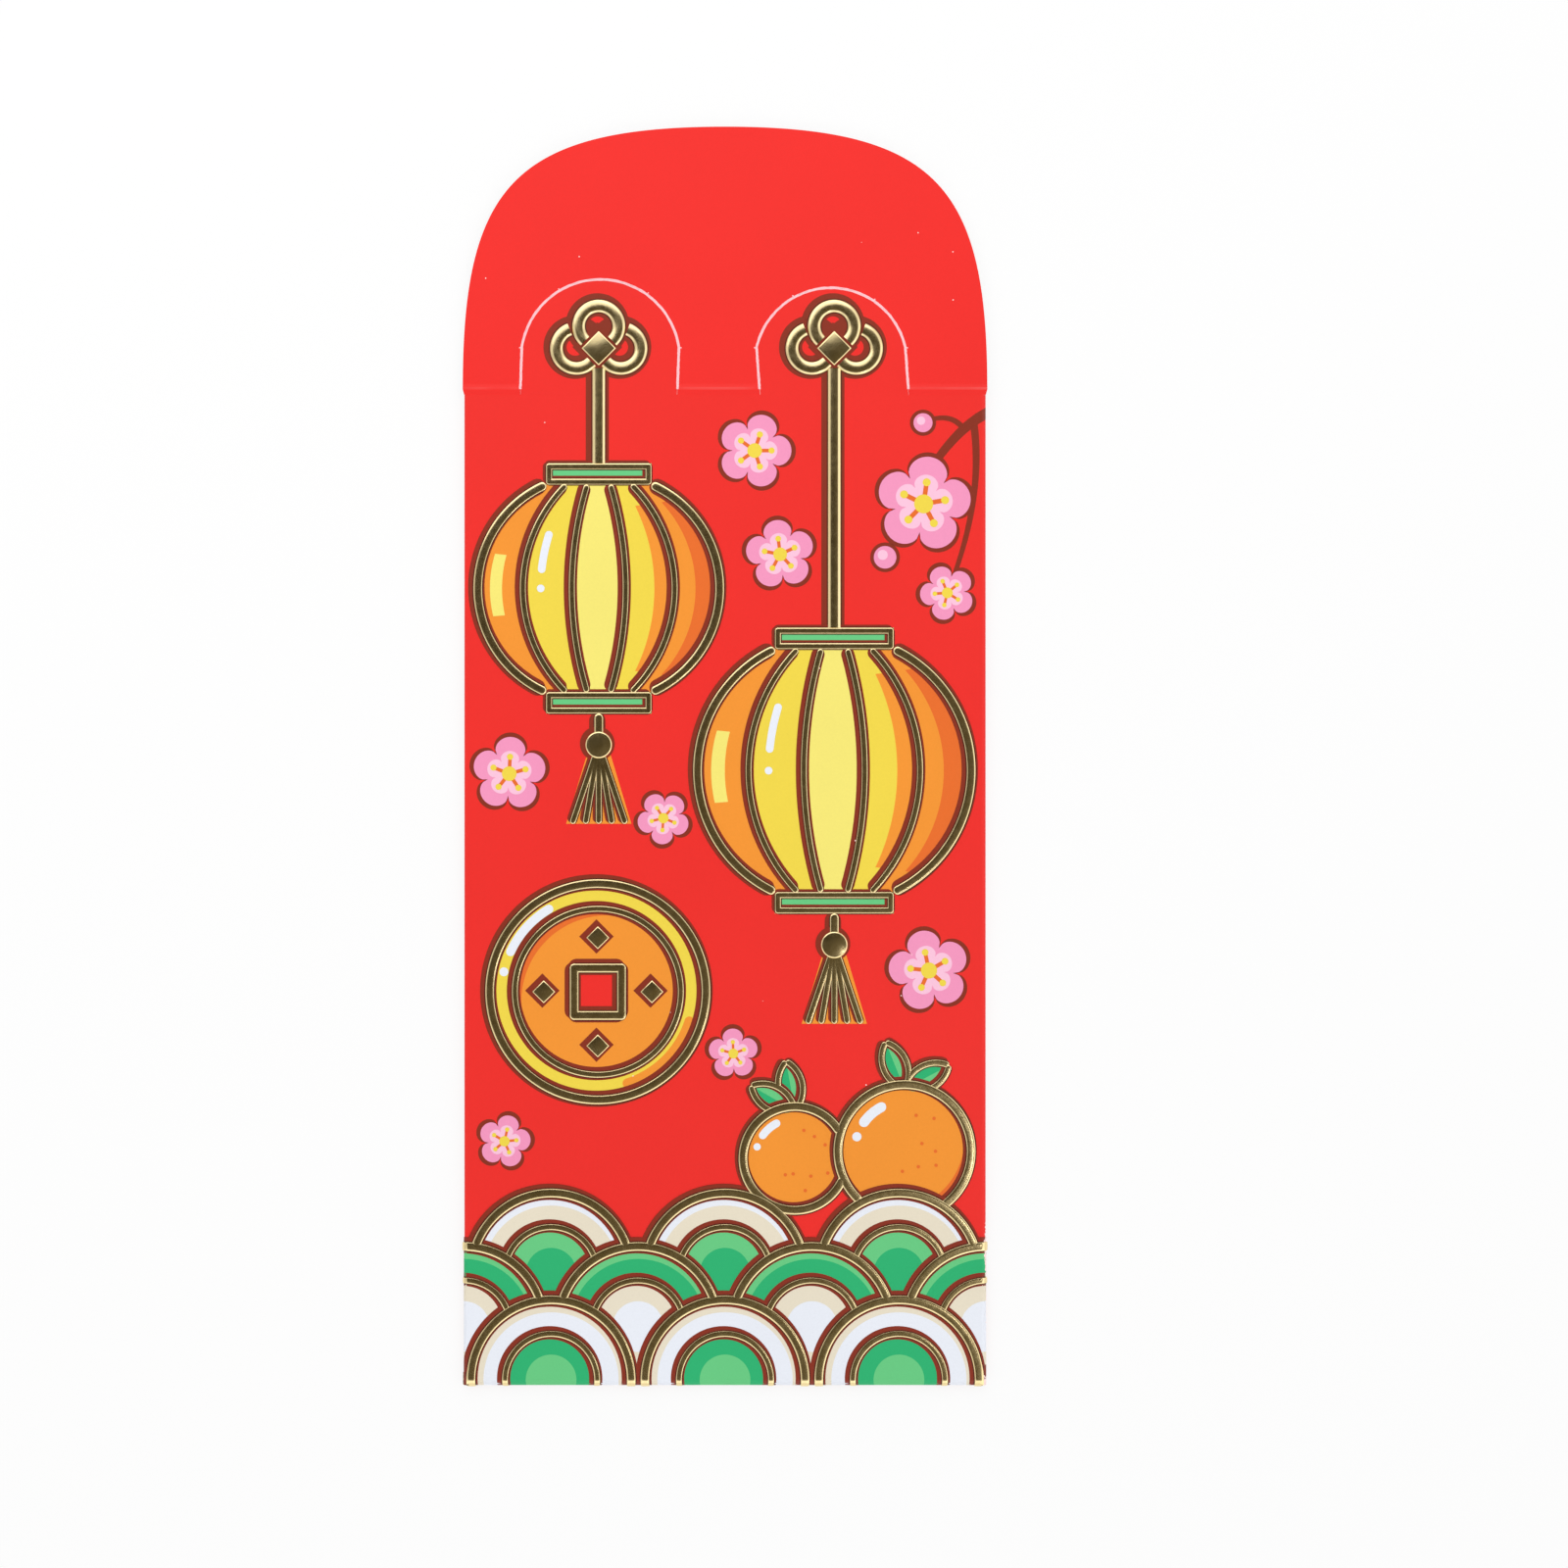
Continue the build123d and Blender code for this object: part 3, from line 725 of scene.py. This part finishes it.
def wrap_over_folds(piece):
    """Trims a print that runs off the front and lays its margin round the folds."""
    edit(piece)
    for along, outward, edge, radius in folds:
        end = outward * edge + radius * bleed_angle
        cut_rows(tuple(outward * n for n in along), [end], clear_outer=True, use_fill=True)
    for along, outward, edge, radius in folds:
        bleed = outward * radius * bleed_angle
        cut_rows(along, [edge + bleed * i / bleed_rows for i in range(bleed_rows)])
    bpy.ops.object.mode_set(mode="OBJECT")
    for vertex in piece.data.vertices:
        place = vertex.co.copy()
        lift = place.z - face_z
        for along, outward, edge, radius in folds:
            axis = along.index(1)
            turn = (place[axis] - edge) * outward / radius
            if turn > 0:
                if along == along_x:
                    vertex.co.y = max(place.y, bottom_edge_y)
                vertex.co[axis] = edge + outward * (radius + lift) * math.sin(turn)
                vertex.co.z = face_z - radius + (radius + lift) * math.cos(turn)
                break


def stamped(name, inks, lines, level, plates=(), blunt=False):
    """The two pieces of a picture: its inks with painted shade along the foil's edges, and the foil in place
    of its node.
    """
    picture = merge(f"{name}_print", inks + painted_edge_shades(lines, level, blunt))
    stamping = merge(f"{name}_gold", foil_lines(lines, level, blunt) + list(plates))
    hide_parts(f"{name}_foil")
    return picture, stamping


def wave_places(row):
    """Middles of the scallops in one row, counted from the front."""
    start = left_edge_x + wave_pitch / 2 + wave_pitch / 2 * (row % 2)
    return [(start + wave_pitch * step, front_low.y + wave_row_step * row) for step in range(-1, wave_count)]


def wave_discs(row):
    """What the scallops of one row hide, out to the middle of their rims."""
    return [(place, wave_radius - foil_line / 2) for place in wave_places(row)]


row_inks = ((cream_ink, white_ink, deep_green_ink, green_ink),
            (green_ink, deep_green_ink, cream_ink, white_ink),
            (white_ink, cream_ink, green_ink, deep_green_ink))
wave_inks, wave_lines = [], []
for row in reversed(range(wave_rows)):
    level = wave_level + 2 * (wave_rows - 1 - row)
    covered = in_any([disc for ahead in range(row) for disc in wave_discs(ahead)])
    for outer, inner, ink in zip(wave_bands, wave_bands[1:] + (0,), row_inks[row]):
        loops = []
        for place in wave_places(row):
            loops += [circle(place, wave_radius * share) for share in (outer, inner) if share]
        wave_inks.append(film(loops, level, ink))
    rings = []
    for place in wave_places(row):
        for reach, width in ((wave_radius, foil_line), (wave_radius * wave_inner, foil_fine)):
            radius = reach - width / 2
            rings.append((circle(place, radius, ring_steps), True, width))
            wave_lines += shown_lines(circle(place, radius, trial_steps), True, width,
                                      lambda p: covered(p) or row > 0 and p[1] < place[1])
    wave_inks += brown_lines(rings, level + 1)
for piece in stamped("wave", wave_inks, wave_lines, wave_level + 2 * wave_rows):
    wrap_over_folds(piece)
    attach(piece, "envelope")

# Mandarins
# Two round fruits with leaves, printed in orange and green behind the waves, the larger in front of
# the smaller. Their outlines are stamped in foil where the waves leave them showing.
print_margin = 1.0 * mm
mandarin_radius, small_mandarin_radius = 12.0 * mm, 9.5 * mm
mandarin_rise, mandarin_overlap, mandarin_step = 6.3 * mm, 3.0 * mm, 1.2 * mm
mandarin_level, mandarin_margin = wave_level + 1, 0.40 * mm
leaf_length, leaf_bulge, midrib_share, leaf_steps = 8.5 * mm, 0.24, 0.8, 60
small_leaves, large_leaves = (150, 100), (112, 28)
small_level, large_level = 0, 3
shade_shift = (-0.16, 0.17)
shine_reach, shine_width, shine_angles = 0.70, 0.14, (112, 150)
shine_dot, shine_dot_angle = 0.065, 163
bow_steps, dot_steps, moon_steps = 24, 24, 240
dimple_count, dimple_radius, dimple_start, dimple_turn = 9, 0.30 * mm, -120, 24
dimple_nearest, dimple_spread, dimple_steps = 0.25, 0.45, 16
wave_crest = front_low.y + wave_row_step * (wave_rows - 1) + wave_radius
mandarin_place = (front_high.x - print_margin - mandarin_radius, wave_crest + mandarin_rise)
small_place = (mandarin_place[0] - mandarin_radius - small_mandarin_radius + mandarin_overlap,
               mandarin_place[1] - mandarin_step)
back_waves = wave_discs(wave_rows - 1)
orange_ink = printed("orange ink", (243, 148, 44))
deep_orange_ink = printed("deep orange ink", (232, 108, 34))


def bow(place, radius, start, end):
    """An open arc round a place, between two angles."""
    return arc(*[around(place, radius, degrees) for degrees in (start, (start + end) / 2, end)], bow_steps)


def crescent(place, radius, shift, bite):
    """What is left of a disc after a shifted disc is taken from it."""
    other = moved(place, shift)
    outer = shown_lines(circle(place, radius, moon_steps), True, 0, lambda p: math.dist(p, other) < bite)
    inner = shown_lines(circle(other, bite, moon_steps), True, 0, lambda p: math.dist(p, place) > radius)
    return outer[0][0] + inner[0][0][::-1]


def leaf_sides(stalk, degrees):
    """The two curved edges of a leaf, from its stalk to its tip."""
    tip, middle = around(stalk, leaf_length, degrees), around(stalk, leaf_length / 2, degrees)
    bulges = [around(middle, leaf_length * leaf_bulge, degrees + turn) for turn in (90, -90)]
    return [arc(stalk, bulge, tip, leaf_steps) for bulge in bulges]


def inside(loop):
    """A test for points inside a closed outline."""
    def test(point):
        x, y = point
        crossings = 0
        for (ax, ay), (bx, by) in zip(loop, loop[1:] + loop[:1]):
            if (ay > y) != (by > y) and x < ax + (bx - ax) * (y - ay) / (by - ay):
                crossings += 1
        return crossings % 2 == 1
    return test


def ink_strokes(paths, width, level, finish):
    """Short painted strokes with round ends."""
    strokes = [(points, False) for points in paths]
    return raised_lines("stroke", strokes, width, ink_film, level_z(level), finish)


def fruit(place, radius, leaf_angles, level, hidden):
    """Inks and foil lines of one mandarin."""
    ring = radius - foil_line / 2
    stalk = (place[0], place[1] + radius - foil_line)
    shift = tuple(share * radius for share in shade_shift)
    shine = bow(place, shine_reach * radius, *shine_angles)
    dot = circle(around(place, shine_reach * radius, shine_dot_angle), shine_dot * radius, dot_steps)
    inks = [film([circle(place, radius)], level, orange_ink),
            film([crescent(place, radius, shift, radius)], level + 1, deep_orange_ink),
            ink_strokes([shine], shine_width * radius, level + 1, white_ink),
            film([dot], level + 1, white_ink)]
    chance = random.Random(len(leaf_angles) + radius)
    dimples = []
    for i in range(dimple_count):
        reach = radius * (dimple_nearest + dimple_spread * chance.random())
        pit = around(place, reach, dimple_start + dimple_turn * i)
        dimples.append(circle(pit, dimple_radius, dimple_steps))
    inks.append(film(dimples, level + 2, deep_orange_ink))
    lines = shown_lines(circle(place, ring, trial_steps), True, foil_line, hidden)
    outline = [(circle(place, ring, ring_steps), True, foil_line)]
    in_front = [in_any([(place, ring)])]
    for angle in leaf_angles:
        upper, lower = leaf_sides(stalk, angle)
        leaf = upper + lower[::-1][1:-1]
        midrib = straight(stalk, around(stalk, leaf_length * midrib_share, angle))
        inks += [film([leaf], level + 1, green_ink),
                 film([upper + midrib[::-1][:-1]], level + 2, deep_green_ink)]
        for edge in (upper, lower):
            shown = shown_lines(edge, False, foil_fine, lambda p: any(test(p) for test in in_front))
            lines += shown
            outline += shown
        in_front.append(inside(leaf))
    return inks + brown_lines(outline, level + 3, mandarin_margin), lines


large_hidden = in_any(back_waves)
small_hidden = in_any(back_waves + [(mandarin_place, mandarin_radius - foil_line / 2)])
small_inks, small_lines = fruit(small_place, small_mandarin_radius, small_leaves, small_level, small_hidden)
large_inks, large_lines = fruit(mandarin_place, mandarin_radius, large_leaves, large_level, large_hidden)
for piece in stamped("mandarin", small_inks + large_inks, small_lines + large_lines, mandarin_level):
    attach(piece, "envelope")

# Coin
# A round coin with a square hole, printed in yellow and orange. Its rim, its inner ring, the frame of
# the hole and four studs are stamped in foil.
coin_low, coin_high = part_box("coin_foil")
coin_place = ((coin_low.x + coin_high.x) / 2, (coin_low.y + coin_high.y) / 2)
coin_radius, coin_inner = 19.0 * mm, 14.5 * mm
coin_hole, coin_stud = 9.5 * mm, 4.0 * mm
coin_level = 3
hole_half = (coin_hole - foil_line) / 2
stud_reach = (coin_hole / 2 + coin_inner - foil_fine) / 2
stud_rise, stud_margin = 0.22 * mm, 1.8 * mm
coin_shade_shift = (1.6 * mm, -1.6 * mm)
coin_stroke_reach, coin_dot_angle = 16.2 * mm, 168
coin_shine_angles, coin_shade_angles = (118, 158), (-75, -15)
coin_shine_width, coin_shade_width, coin_dot = 1.5 * mm, 1.6 * mm, 0.75 * mm
quarters, box_step = (0, 90, 180, 270), 1.0 * mm
yellow_ink = printed("yellow ink", (240, 214, 70))


def box_loop(place, half_width, half_height):
    """The four corners of an upright rectangle."""
    corners = ((-1, -1), (1, -1), (1, 1), (-1, 1))
    return [moved(place, (x * half_width, y * half_height)) for x, y in corners]


def box_lines(place, half_width, half_height, width):
    """Four lines round an upright rectangle, each running past the corners by half its width."""
    past = width / 2
    (left, low), _, (right, high), _ = box_loop(place, half_width, half_height)
    ends = [((left - past, y), (right + past, y)) for y in (low, high)]
    ends += [((x, low - past), (x, high + past)) for x in (left, right)]
    return [(straight(*pair, box_step), False, width) for pair in ends]


def lozenge(place, diagonal):
    """A square standing on its corner."""
    return [around(place, diagonal / 2, degrees) for degrees in quarters]


def foil_plate(loop, rise, level):
    """A filled shape of foil with rounded edges."""
    piece = filled("foil plate", [loop], bevel_depth=rise, bevel_resolution=4, offset=-rise)
    for vertex in piece.data.vertices:
        vertex.co.z = level_z(level) + max(0.0, vertex.co.z)
    piece.data.materials.append(gold_foil)
    bpy.ops.object.shade_smooth_by_angle(angle=smooth_angle)
    return piece


def studs(middle, diagonal):
    """Four lozenges between the coin's hole and its inner ring."""
    return [lozenge(around(middle, stud_reach, degrees), diagonal) for degrees in quarters]


coin_lines = [(circle(coin_place, coin_radius - foil_line / 2, ring_steps), True, foil_line),
              (circle(coin_place, coin_inner - foil_fine / 2, ring_steps), True, foil_fine)]
coin_lines += box_lines(coin_place, hole_half, hole_half, foil_line)
coin_field = [circle(coin_place, coin_inner), box_loop(coin_place, hole_half, hole_half)]
coin_shade = crescent(coin_place, coin_inner, coin_shade_shift, coin_inner)
coin_shine = bow(coin_place, coin_stroke_reach, *coin_shine_angles)
coin_rim_shade = bow(coin_place, coin_stroke_reach, *coin_shade_angles)
coin_dot_place = around(coin_place, coin_stroke_reach, coin_dot_angle)
coin_inks = [film([circle(coin_place, coin_radius), circle(coin_place, coin_inner)], 0, yellow_ink),
             film(coin_field, 0, orange_ink), film([coin_shade], 1, deep_orange_ink),
             ink_strokes([coin_shine], coin_shine_width, 1, white_ink),
             film([circle(coin_dot_place, coin_dot, dot_steps)], 1, white_ink),
             ink_strokes([coin_rim_shade], coin_shade_width, 1, orange_ink)]
stud_shadows = studs(moved(coin_place, brown_shift), coin_stud + stud_margin)
coin_inks += brown_lines(coin_lines, coin_level - 1) + [film(stud_shadows, coin_level - 1, brown_ink)]
stud_plates = [foil_plate(stud, stud_rise, coin_level) for stud in studs(coin_place, coin_stud)]
for piece in stamped("coin", coin_inks, coin_lines, coin_level, stud_plates):
    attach(piece, "envelope")

# Lanterns
# A paper lantern hangs below each tab, printed in yellow and orange lobes with green caps. The outline,
# ribs, caps and tassel are stamped in foil.
cap_share, cap_height = 0.42, 3.6 * mm
rib_shares, rib_steps = (0.62, 0.22), 72
bead_size, neck_length, strand_length, strand_spread = 4.6 * mm, 3.0 * mm, 11.0 * mm, 9.0 * mm
strand_count, fine_margin, tassel_top = 5, 0.30 * mm, 1.5 * mm
lantern_shine, lantern_shine_width, lantern_dot = -0.48, 1.3 * mm, 0.65 * mm
lantern_shine_run, lantern_dot_step = slice(17, 32), 36
bead_rise, bead_points = 0.3 * mm, 48
lantern_level = 5
cord_boxes = {side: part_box(f"{side}_cord_foil") for side in ("left", "right")}
tab_middles = {side: (low.x + high.x) / 2 for side, (low, high) in cord_boxes.items()}
lantern_heights = {"left": 35.0 * mm, "right": 41.0 * mm}
lantern_widths = {"left": 2 * (tab_middles["left"] - front_low.x - print_margin),
                  "right": 2 * (front_high.x - print_margin - tab_middles["right"])}
light_yellow_ink = printed("light yellow ink", (244, 230, 116))
wide_rib, narrow_rib = rib_shares
# A lobe: its two sides as shares of the width, the steps it runs between, its level and its ink
lobe_inks = ((-1, 1, 0, rib_steps, 0, orange_ink), (-wide_rib, wide_rib, 0, rib_steps, 1, yellow_ink),
             (-narrow_rib, narrow_rib, 0, rib_steps, 2, light_yellow_ink),
             (0.80, 0.98, 8, 64, 1, deep_orange_ink), (0.46, 0.60, 8, 64, 2, orange_ink),
             (-0.90, -0.80, 26, 44, 1, light_yellow_ink))

for side in ("left", "right"):
    middle_x, width, height = tab_middles[side], lantern_widths[side], lantern_heights[side]
    middle_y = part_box(f"{side}_lantern_foil")[1].y - cap_height - height / 2
    top, bottom = middle_y + height / 2, middle_y - height / 2
    cap_half = width * cap_share / 2

    def rib(share, line=foil_line):
        """A rib from the upper to the lower cap, bulging by a share of the lantern's width."""
        return arc((middle_x + share * cap_half, top), (middle_x + share * (width - line) / 2, middle_y),
                   (middle_x + share * cap_half, bottom), rib_steps)

    lines = [(rib(sign), False, foil_line) for sign in (-1, 1)]
    lines += [(rib(sign * share, foil_fine), False, foil_fine) for sign in (-1, 1) for share in rib_shares]
    caps = [(middle_x, top + cap_height / 2), (middle_x, bottom - cap_height / 2)]
    neck_top = bottom - cap_height
    bead = (middle_x, neck_top - neck_length - bead_size / 2)
    lines.append((straight((middle_x, neck_top), bead), False, foil_line))
    strand_end = bead[1] - bead_size / 2 - strand_length
    fine_lines = []
    for place in caps:
        fine_lines += box_lines(place, cap_half - foil_fine / 2, cap_height / 2 - foil_fine / 2, foil_fine)
    for i in range(strand_count):
        end_x = middle_x + strand_spread * (i / (strand_count - 1) - 1 / 2)
        fine_lines.append((straight(bead, (end_x, strand_end)), False, foil_fine))
    inks = []
    for left_share, right_share, start, end, level, ink in lobe_inks:
        lobe = rib(left_share)[start:end + 1] + rib(right_share)[start:end + 1][::-1]
        inks.append(film([lobe], level, ink))
    inks += [film([box_loop(place, cap_half, cap_height / 2)], 0, green_ink) for place in caps]
    shine = rib(lantern_shine)
    inks += [ink_strokes([shine[lantern_shine_run]], lantern_shine_width, 3, white_ink),
             film([circle(shine[lantern_dot_step], lantern_dot, dot_steps)], 3, white_ink)]
    spread = strand_spread / 2 + foil_fine
    tassel = [(middle_x - tassel_top, bead[1]), (middle_x + tassel_top, bead[1]),
              (middle_x + spread, strand_end), (middle_x - spread, strand_end)]
    bead_shadow = circle(moved(bead, brown_shift), bead_size / 2 + brown_margin)
    inks += [film([tassel], 0, orange_ink), film([bead_shadow], lantern_level, brown_ink)]
    inks += brown_lines(lines, lantern_level - 1) + brown_lines(fine_lines, lantern_level - 1, fine_margin)
    bead_plate = foil_plate(circle(bead, bead_size / 2, bead_points), bead_rise, lantern_level + 1)
    for piece in stamped(f"{side}_lantern", inks, lines + fine_lines, lantern_level, [bead_plate]):
        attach(piece, "envelope")

# Cords and knots
# Each lantern's cord runs straight up the front, over the crease and on to its tab, where it ends in a
# knot of three loops. All of it is one raised foil line over a brown one.
cord_margin = 0.85 * mm
knot_rise, knot_loop, knot_core = 6.9 * mm, 3.4 * mm, 6.0 * mm
knot_spread, knot_gap, loop_steps, loop_angles = 1.1, 0.35 * mm, 144, (0, 180, 90)
core_rise, core_margin = 0.3 * mm, 2.4 * mm
stem_step, shortest_run = 0.05 * mm, 16
for side in ("left", "right"):
    middle_x = tab_middles[side]
    cord = [(straight((middle_x, cord_boxes[side][0].y), (middle_x, front_high.y)), False, foil_bold)]
    cord_inks = brown_lines(cord, 0, cord_margin, blunt=True)
    for piece in stamped(f"{side}_cord", cord_inks, cord, 1, blunt=True):
        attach(piece, "envelope")

    knot = (middle_x, crease_y + knot_rise)
    stem = straight((middle_x, front_high.y), knot, stem_step)
    middles = [around(knot, knot_spread * knot_loop, degrees) for degrees in loop_angles]
    loops = [circle(place, knot_loop, loop_steps) for place in middles]
    under_core = inside(lozenge(knot, knot_core + 2 * knot_gap))

    def under_upper_loop(p):
        """Whether the core or the upper loop lies over a point."""
        return under_core(p) or abs(math.dist(p, middles[2]) - knot_loop) < foil_bold / 2 + knot_gap

    knot_lines = shown_lines(loops[2], True, foil_bold, under_core)
    for loop in loops[:2]:
        runs = shown_lines(loop, True, foil_bold, under_upper_loop)
        knot_lines += [run for run in runs if len(run[0]) > shortest_run]
    knot_lines += shown_lines(stem, False, foil_bold, under_core)
    knot_inks = brown_lines([(stem, False, foil_bold)], 0, cord_margin, blunt=True)
    knot_inks += brown_lines([(loop, True, foil_bold) for loop in loops], 0, cord_margin)
    knot_inks.append(film([lozenge(moved(knot, brown_shift), knot_core + core_margin)], 1, brown_ink))
    core_plate = foil_plate(lozenge(knot, knot_core), core_rise, 1)
    for piece in stamped(f"{side}_knot", knot_inks, knot_lines, 1, [core_plate], blunt=True):
        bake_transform(piece)

# Plum blossoms
# Loose pink blossoms and a small branch fill the ground between the other pictures. They are ink only, with
# brown outlines and yellow hearts. Places and sizes are in mm, and turns in degrees.
blossoms = ((33.5, 42.5, 8.0, 10), (37.5, 27.5, 4.6, 40), (5.0, 51.5, 6.2, 0), (9.3, 34.0, 5.8, 25),
            (-36.4, -3.0, 6.2, 15), (-10.4, -10.5, 4.4, 50), (34.4, -36.2, 6.8, 30), (-37.2, -65.0, 4.4, 5),
            (1.4, -50.2, 4.2, 20))
branch = ((46.8, 58.6), (40.4, 57.6), (33.4, 49.0), (27.0, 33.5))
hanging_twig = ((41.9, 56.4), (43.2, 48.0), (41.8, 38.0), (37.5, 27.5))
bud_twig = ((40.3, 55.1), (38.8, 57.2), (36.4, 57.6), (33.4, 56.2))
twigs = ((branch, 2.0, 0.8, 0), (hanging_twig, 1.3, 0.7, 0.3), (bud_twig, 1.0, 0.7, 0.6))
buds = ((branch[-1], 1.9), (bud_twig[-1], 1.6))
petals, petal_notch, petal_steps = 5, 0.40, 120
twig_steps, bud_steps, disc_steps, anther_steps = 32, 48, 32, 16
petal_margin, bud_margin = 0.75 * mm, 0.6 * mm
pale_share, stamen_share, stamen_width, anther_share, heart_share = 0.62, 0.46, 0.10, 0.085, 0.20
gleam_reach, gleam_share, gleam_angle = 0.3, 0.45, 135
pink_ink = printed("pink ink", (243, 150, 190))
light_pink_ink = printed("light pink ink", (250, 196, 220))


def rosette(place, radius, turn):
    """The outline of a five-petalled blossom."""
    points = []
    for i in range(petal_steps):
        degrees = 360 * i / petal_steps
        swell = math.sqrt(abs(math.cos(math.radians(petals * degrees / 2))))
        points.append(around(place, radius * (1 - petal_notch + petal_notch * swell), degrees + turn))
    return points


def tapered(points, root_width, tip_width):
    """The outline of a twig that thins from its root to its tip."""
    sides = ([], [])
    for i, point in enumerate(points):
        before, after = points[max(i - 1, 0)], points[min(i + 1, len(points) - 1)]
        half = (root_width + (tip_width - root_width) * i / (len(points) - 1)) / 2
        turn = math.degrees(math.atan2(after[1] - before[1], after[0] - before[0]))
        for side, aside in zip(sides, (90, -90)):
            side.append(around(point, half, turn + aside))
    return sides[0] + sides[1][::-1]


blossom_inks = []
for run, root_width, tip_width, level in twigs:
    path = bezier(*[(x * mm, y * mm) for x, y in run], twig_steps)
    blossom_inks.append(film([tapered(path, root_width * mm, tip_width * mm)], level, brown_ink))
for (x, y), size in buds:
    place, radius = (x * mm, y * mm), size * mm
    gleam = circle(around(place, gleam_reach * radius, gleam_angle), gleam_share * radius, disc_steps)
    blossom_inks += [film([circle(place, radius + bud_margin, bud_steps)], 1, brown_ink),
                     film([circle(place, radius, bud_steps)], 2, pink_ink),
                     film([gleam], 3, light_pink_ink)]
for x, y, size, turn in blossoms:
    place, radius = (x * mm, y * mm), size * mm
    tips = [around(place, radius * stamen_share, turn + 360 / petals * i) for i in range(petals)]
    stamens = [straight(place, tip) for tip in tips]
    blossom_inks += [film([rosette(place, radius + petal_margin, turn)], 1, brown_ink),
                     film([rosette(place, radius, turn)], 2, pink_ink),
                     film([rosette(place, radius * pale_share, turn)], 3, light_pink_ink),
                     ink_strokes(stamens, stamen_width * radius, 4, deep_orange_ink),
                     film([circle(tip, anther_share * radius, anther_steps) for tip in tips], 5, yellow_ink),
                     film([circle(place, heart_share * radius, disc_steps)], 5, yellow_ink)]
blossom_print = merge("blossom_print", blossom_inks)
wrap_over_folds(blossom_print)
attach(blossom_print, "envelope")

# Table, light and camera
# The envelope lies on a plain white table in a light tent. The tent is dark straight above, where the
# camera looks in, so that flat foil shows dark and its rounded edges bright.
table_size, table_gap = 20, 0.05 * mm
near_ring, far_ring, near_white = 0.3, 0.9, 0.82
bpy.ops.object.select_all(action="DESELECT")
bpy.ops.mesh.primitive_plane_add(size=table_size, location=(0, 0, -table_gap))
table = bpy.context.object
table.name = "table"
table_white, tree = new_finish("table white")
rays = node(tree, "LightPath").outputs
seen = maths(tree, "MAXIMUM", rays["Is Camera Ray"], rays["Is Glossy Ray"])
seen = maths(tree, "MAXIMUM", seen, rays["Is Transmission Ray"])
away = node(tree, "VectorMath", {0: position(tree)}, operation="LENGTH").outputs["Value"]
lit_share = maths(tree, "MULTIPLY", seen, ramp(tree, away, near_ring, far_ring, near_white, 1.0))
matt = node(tree, "BsdfDiffuse", {"Color": (0.9, 0.9, 0.9, 1)}).outputs[0]
glow = node(tree, "Emission", {"Color": (1, 1, 1, 1), "Strength": 1.0}).outputs[0]
table_top = node(tree, "MixShader", {0: lit_share, 1: matt, 2: glow}).outputs[0]
node(tree, "OutputMaterial", {0: table_top})
table.data.materials.append(table_white)

opening_rim, opening_edge, opening_shade = 0.97, 0.89, (0.066, 0.052, 0.026, 1)
wall_foot, wall_top, skirt_top = 0.20, 0.60, 0.32
wall_dim, wall_bright = 0.55, 1.02
tent_panels, panel_swing = 9, 0.15
bright_bearing, bright_swing = math.radians(-50), 0.38
tent = bpy.data.worlds.new("light tent")
bpy.context.scene.world = tent
tent.use_nodes = True
tree = tent.node_tree
tree.nodes.clear()
axes = node(tree, "SeparateXYZ", {0: node(tree, "TexCoord").outputs["Generated"]}).outputs
tint = mixed(tree, ramp(tree, axes["Z"], opening_rim, opening_edge), opening_shade, (1, 1, 1, 1))
bearing = maths(tree, "ARCTAN2", axes["Y"], axes["X"])
panels = maths(tree, "SINE", maths(tree, "MULTIPLY", bearing, tent_panels))
panels = maths(tree, "MULTIPLY_ADD", panels, panel_swing, 1.0)
toward = maths(tree, "COSINE", maths(tree, "SUBTRACT", bearing, bright_bearing))
panels = maths(tree, "MULTIPLY_ADD", toward, bright_swing, panels)
walls = maths(tree, "MULTIPLY", ramp(tree, axes["Z"], wall_foot, wall_top, wall_dim, wall_bright), panels)
skirt = ramp(tree, axes["Z"], wall_foot, skirt_top, 1.0, 0.0)
backdrop = node(tree, "Background", {"Color": tint, "Strength": maths(tree, "MAXIMUM", walls, skirt)})
node(tree, "OutputWorld", {0: backdrop.outputs[0]})

lamps = (("soft box", (-0.12, 0.42, 0.36), 0.75, 1.45), ("catch light", (0.12, -0.13, 0.60), 0.05, 0.03))
for lamp_name, place, size, power in lamps:
    bpy.ops.object.light_add(type="AREA", location=place)
    lamp = bpy.context.object
    lamp.name = lamp_name
    lamp.data.shape = "DISK"
    lamp.data.size = size
    lamp.data.energy = power
    lamp.rotation_euler = (-lamp.location).to_track_quat("-Z", "Y").to_euler()

camera_shift_x, camera_shift_y, camera_height = 9.95 * mm, -4.74 * mm, 624.5 * mm
bpy.ops.object.camera_add(location=(camera_shift_x, camera_shift_y, face_z + camera_height))
camera = bpy.context.object
camera.data.lens = 85
camera.data.sensor_width = 36
camera.data.clip_start = 0.01
bpy.context.scene.camera = camera
bpy.context.scene.view_settings.view_transform = "Standard"
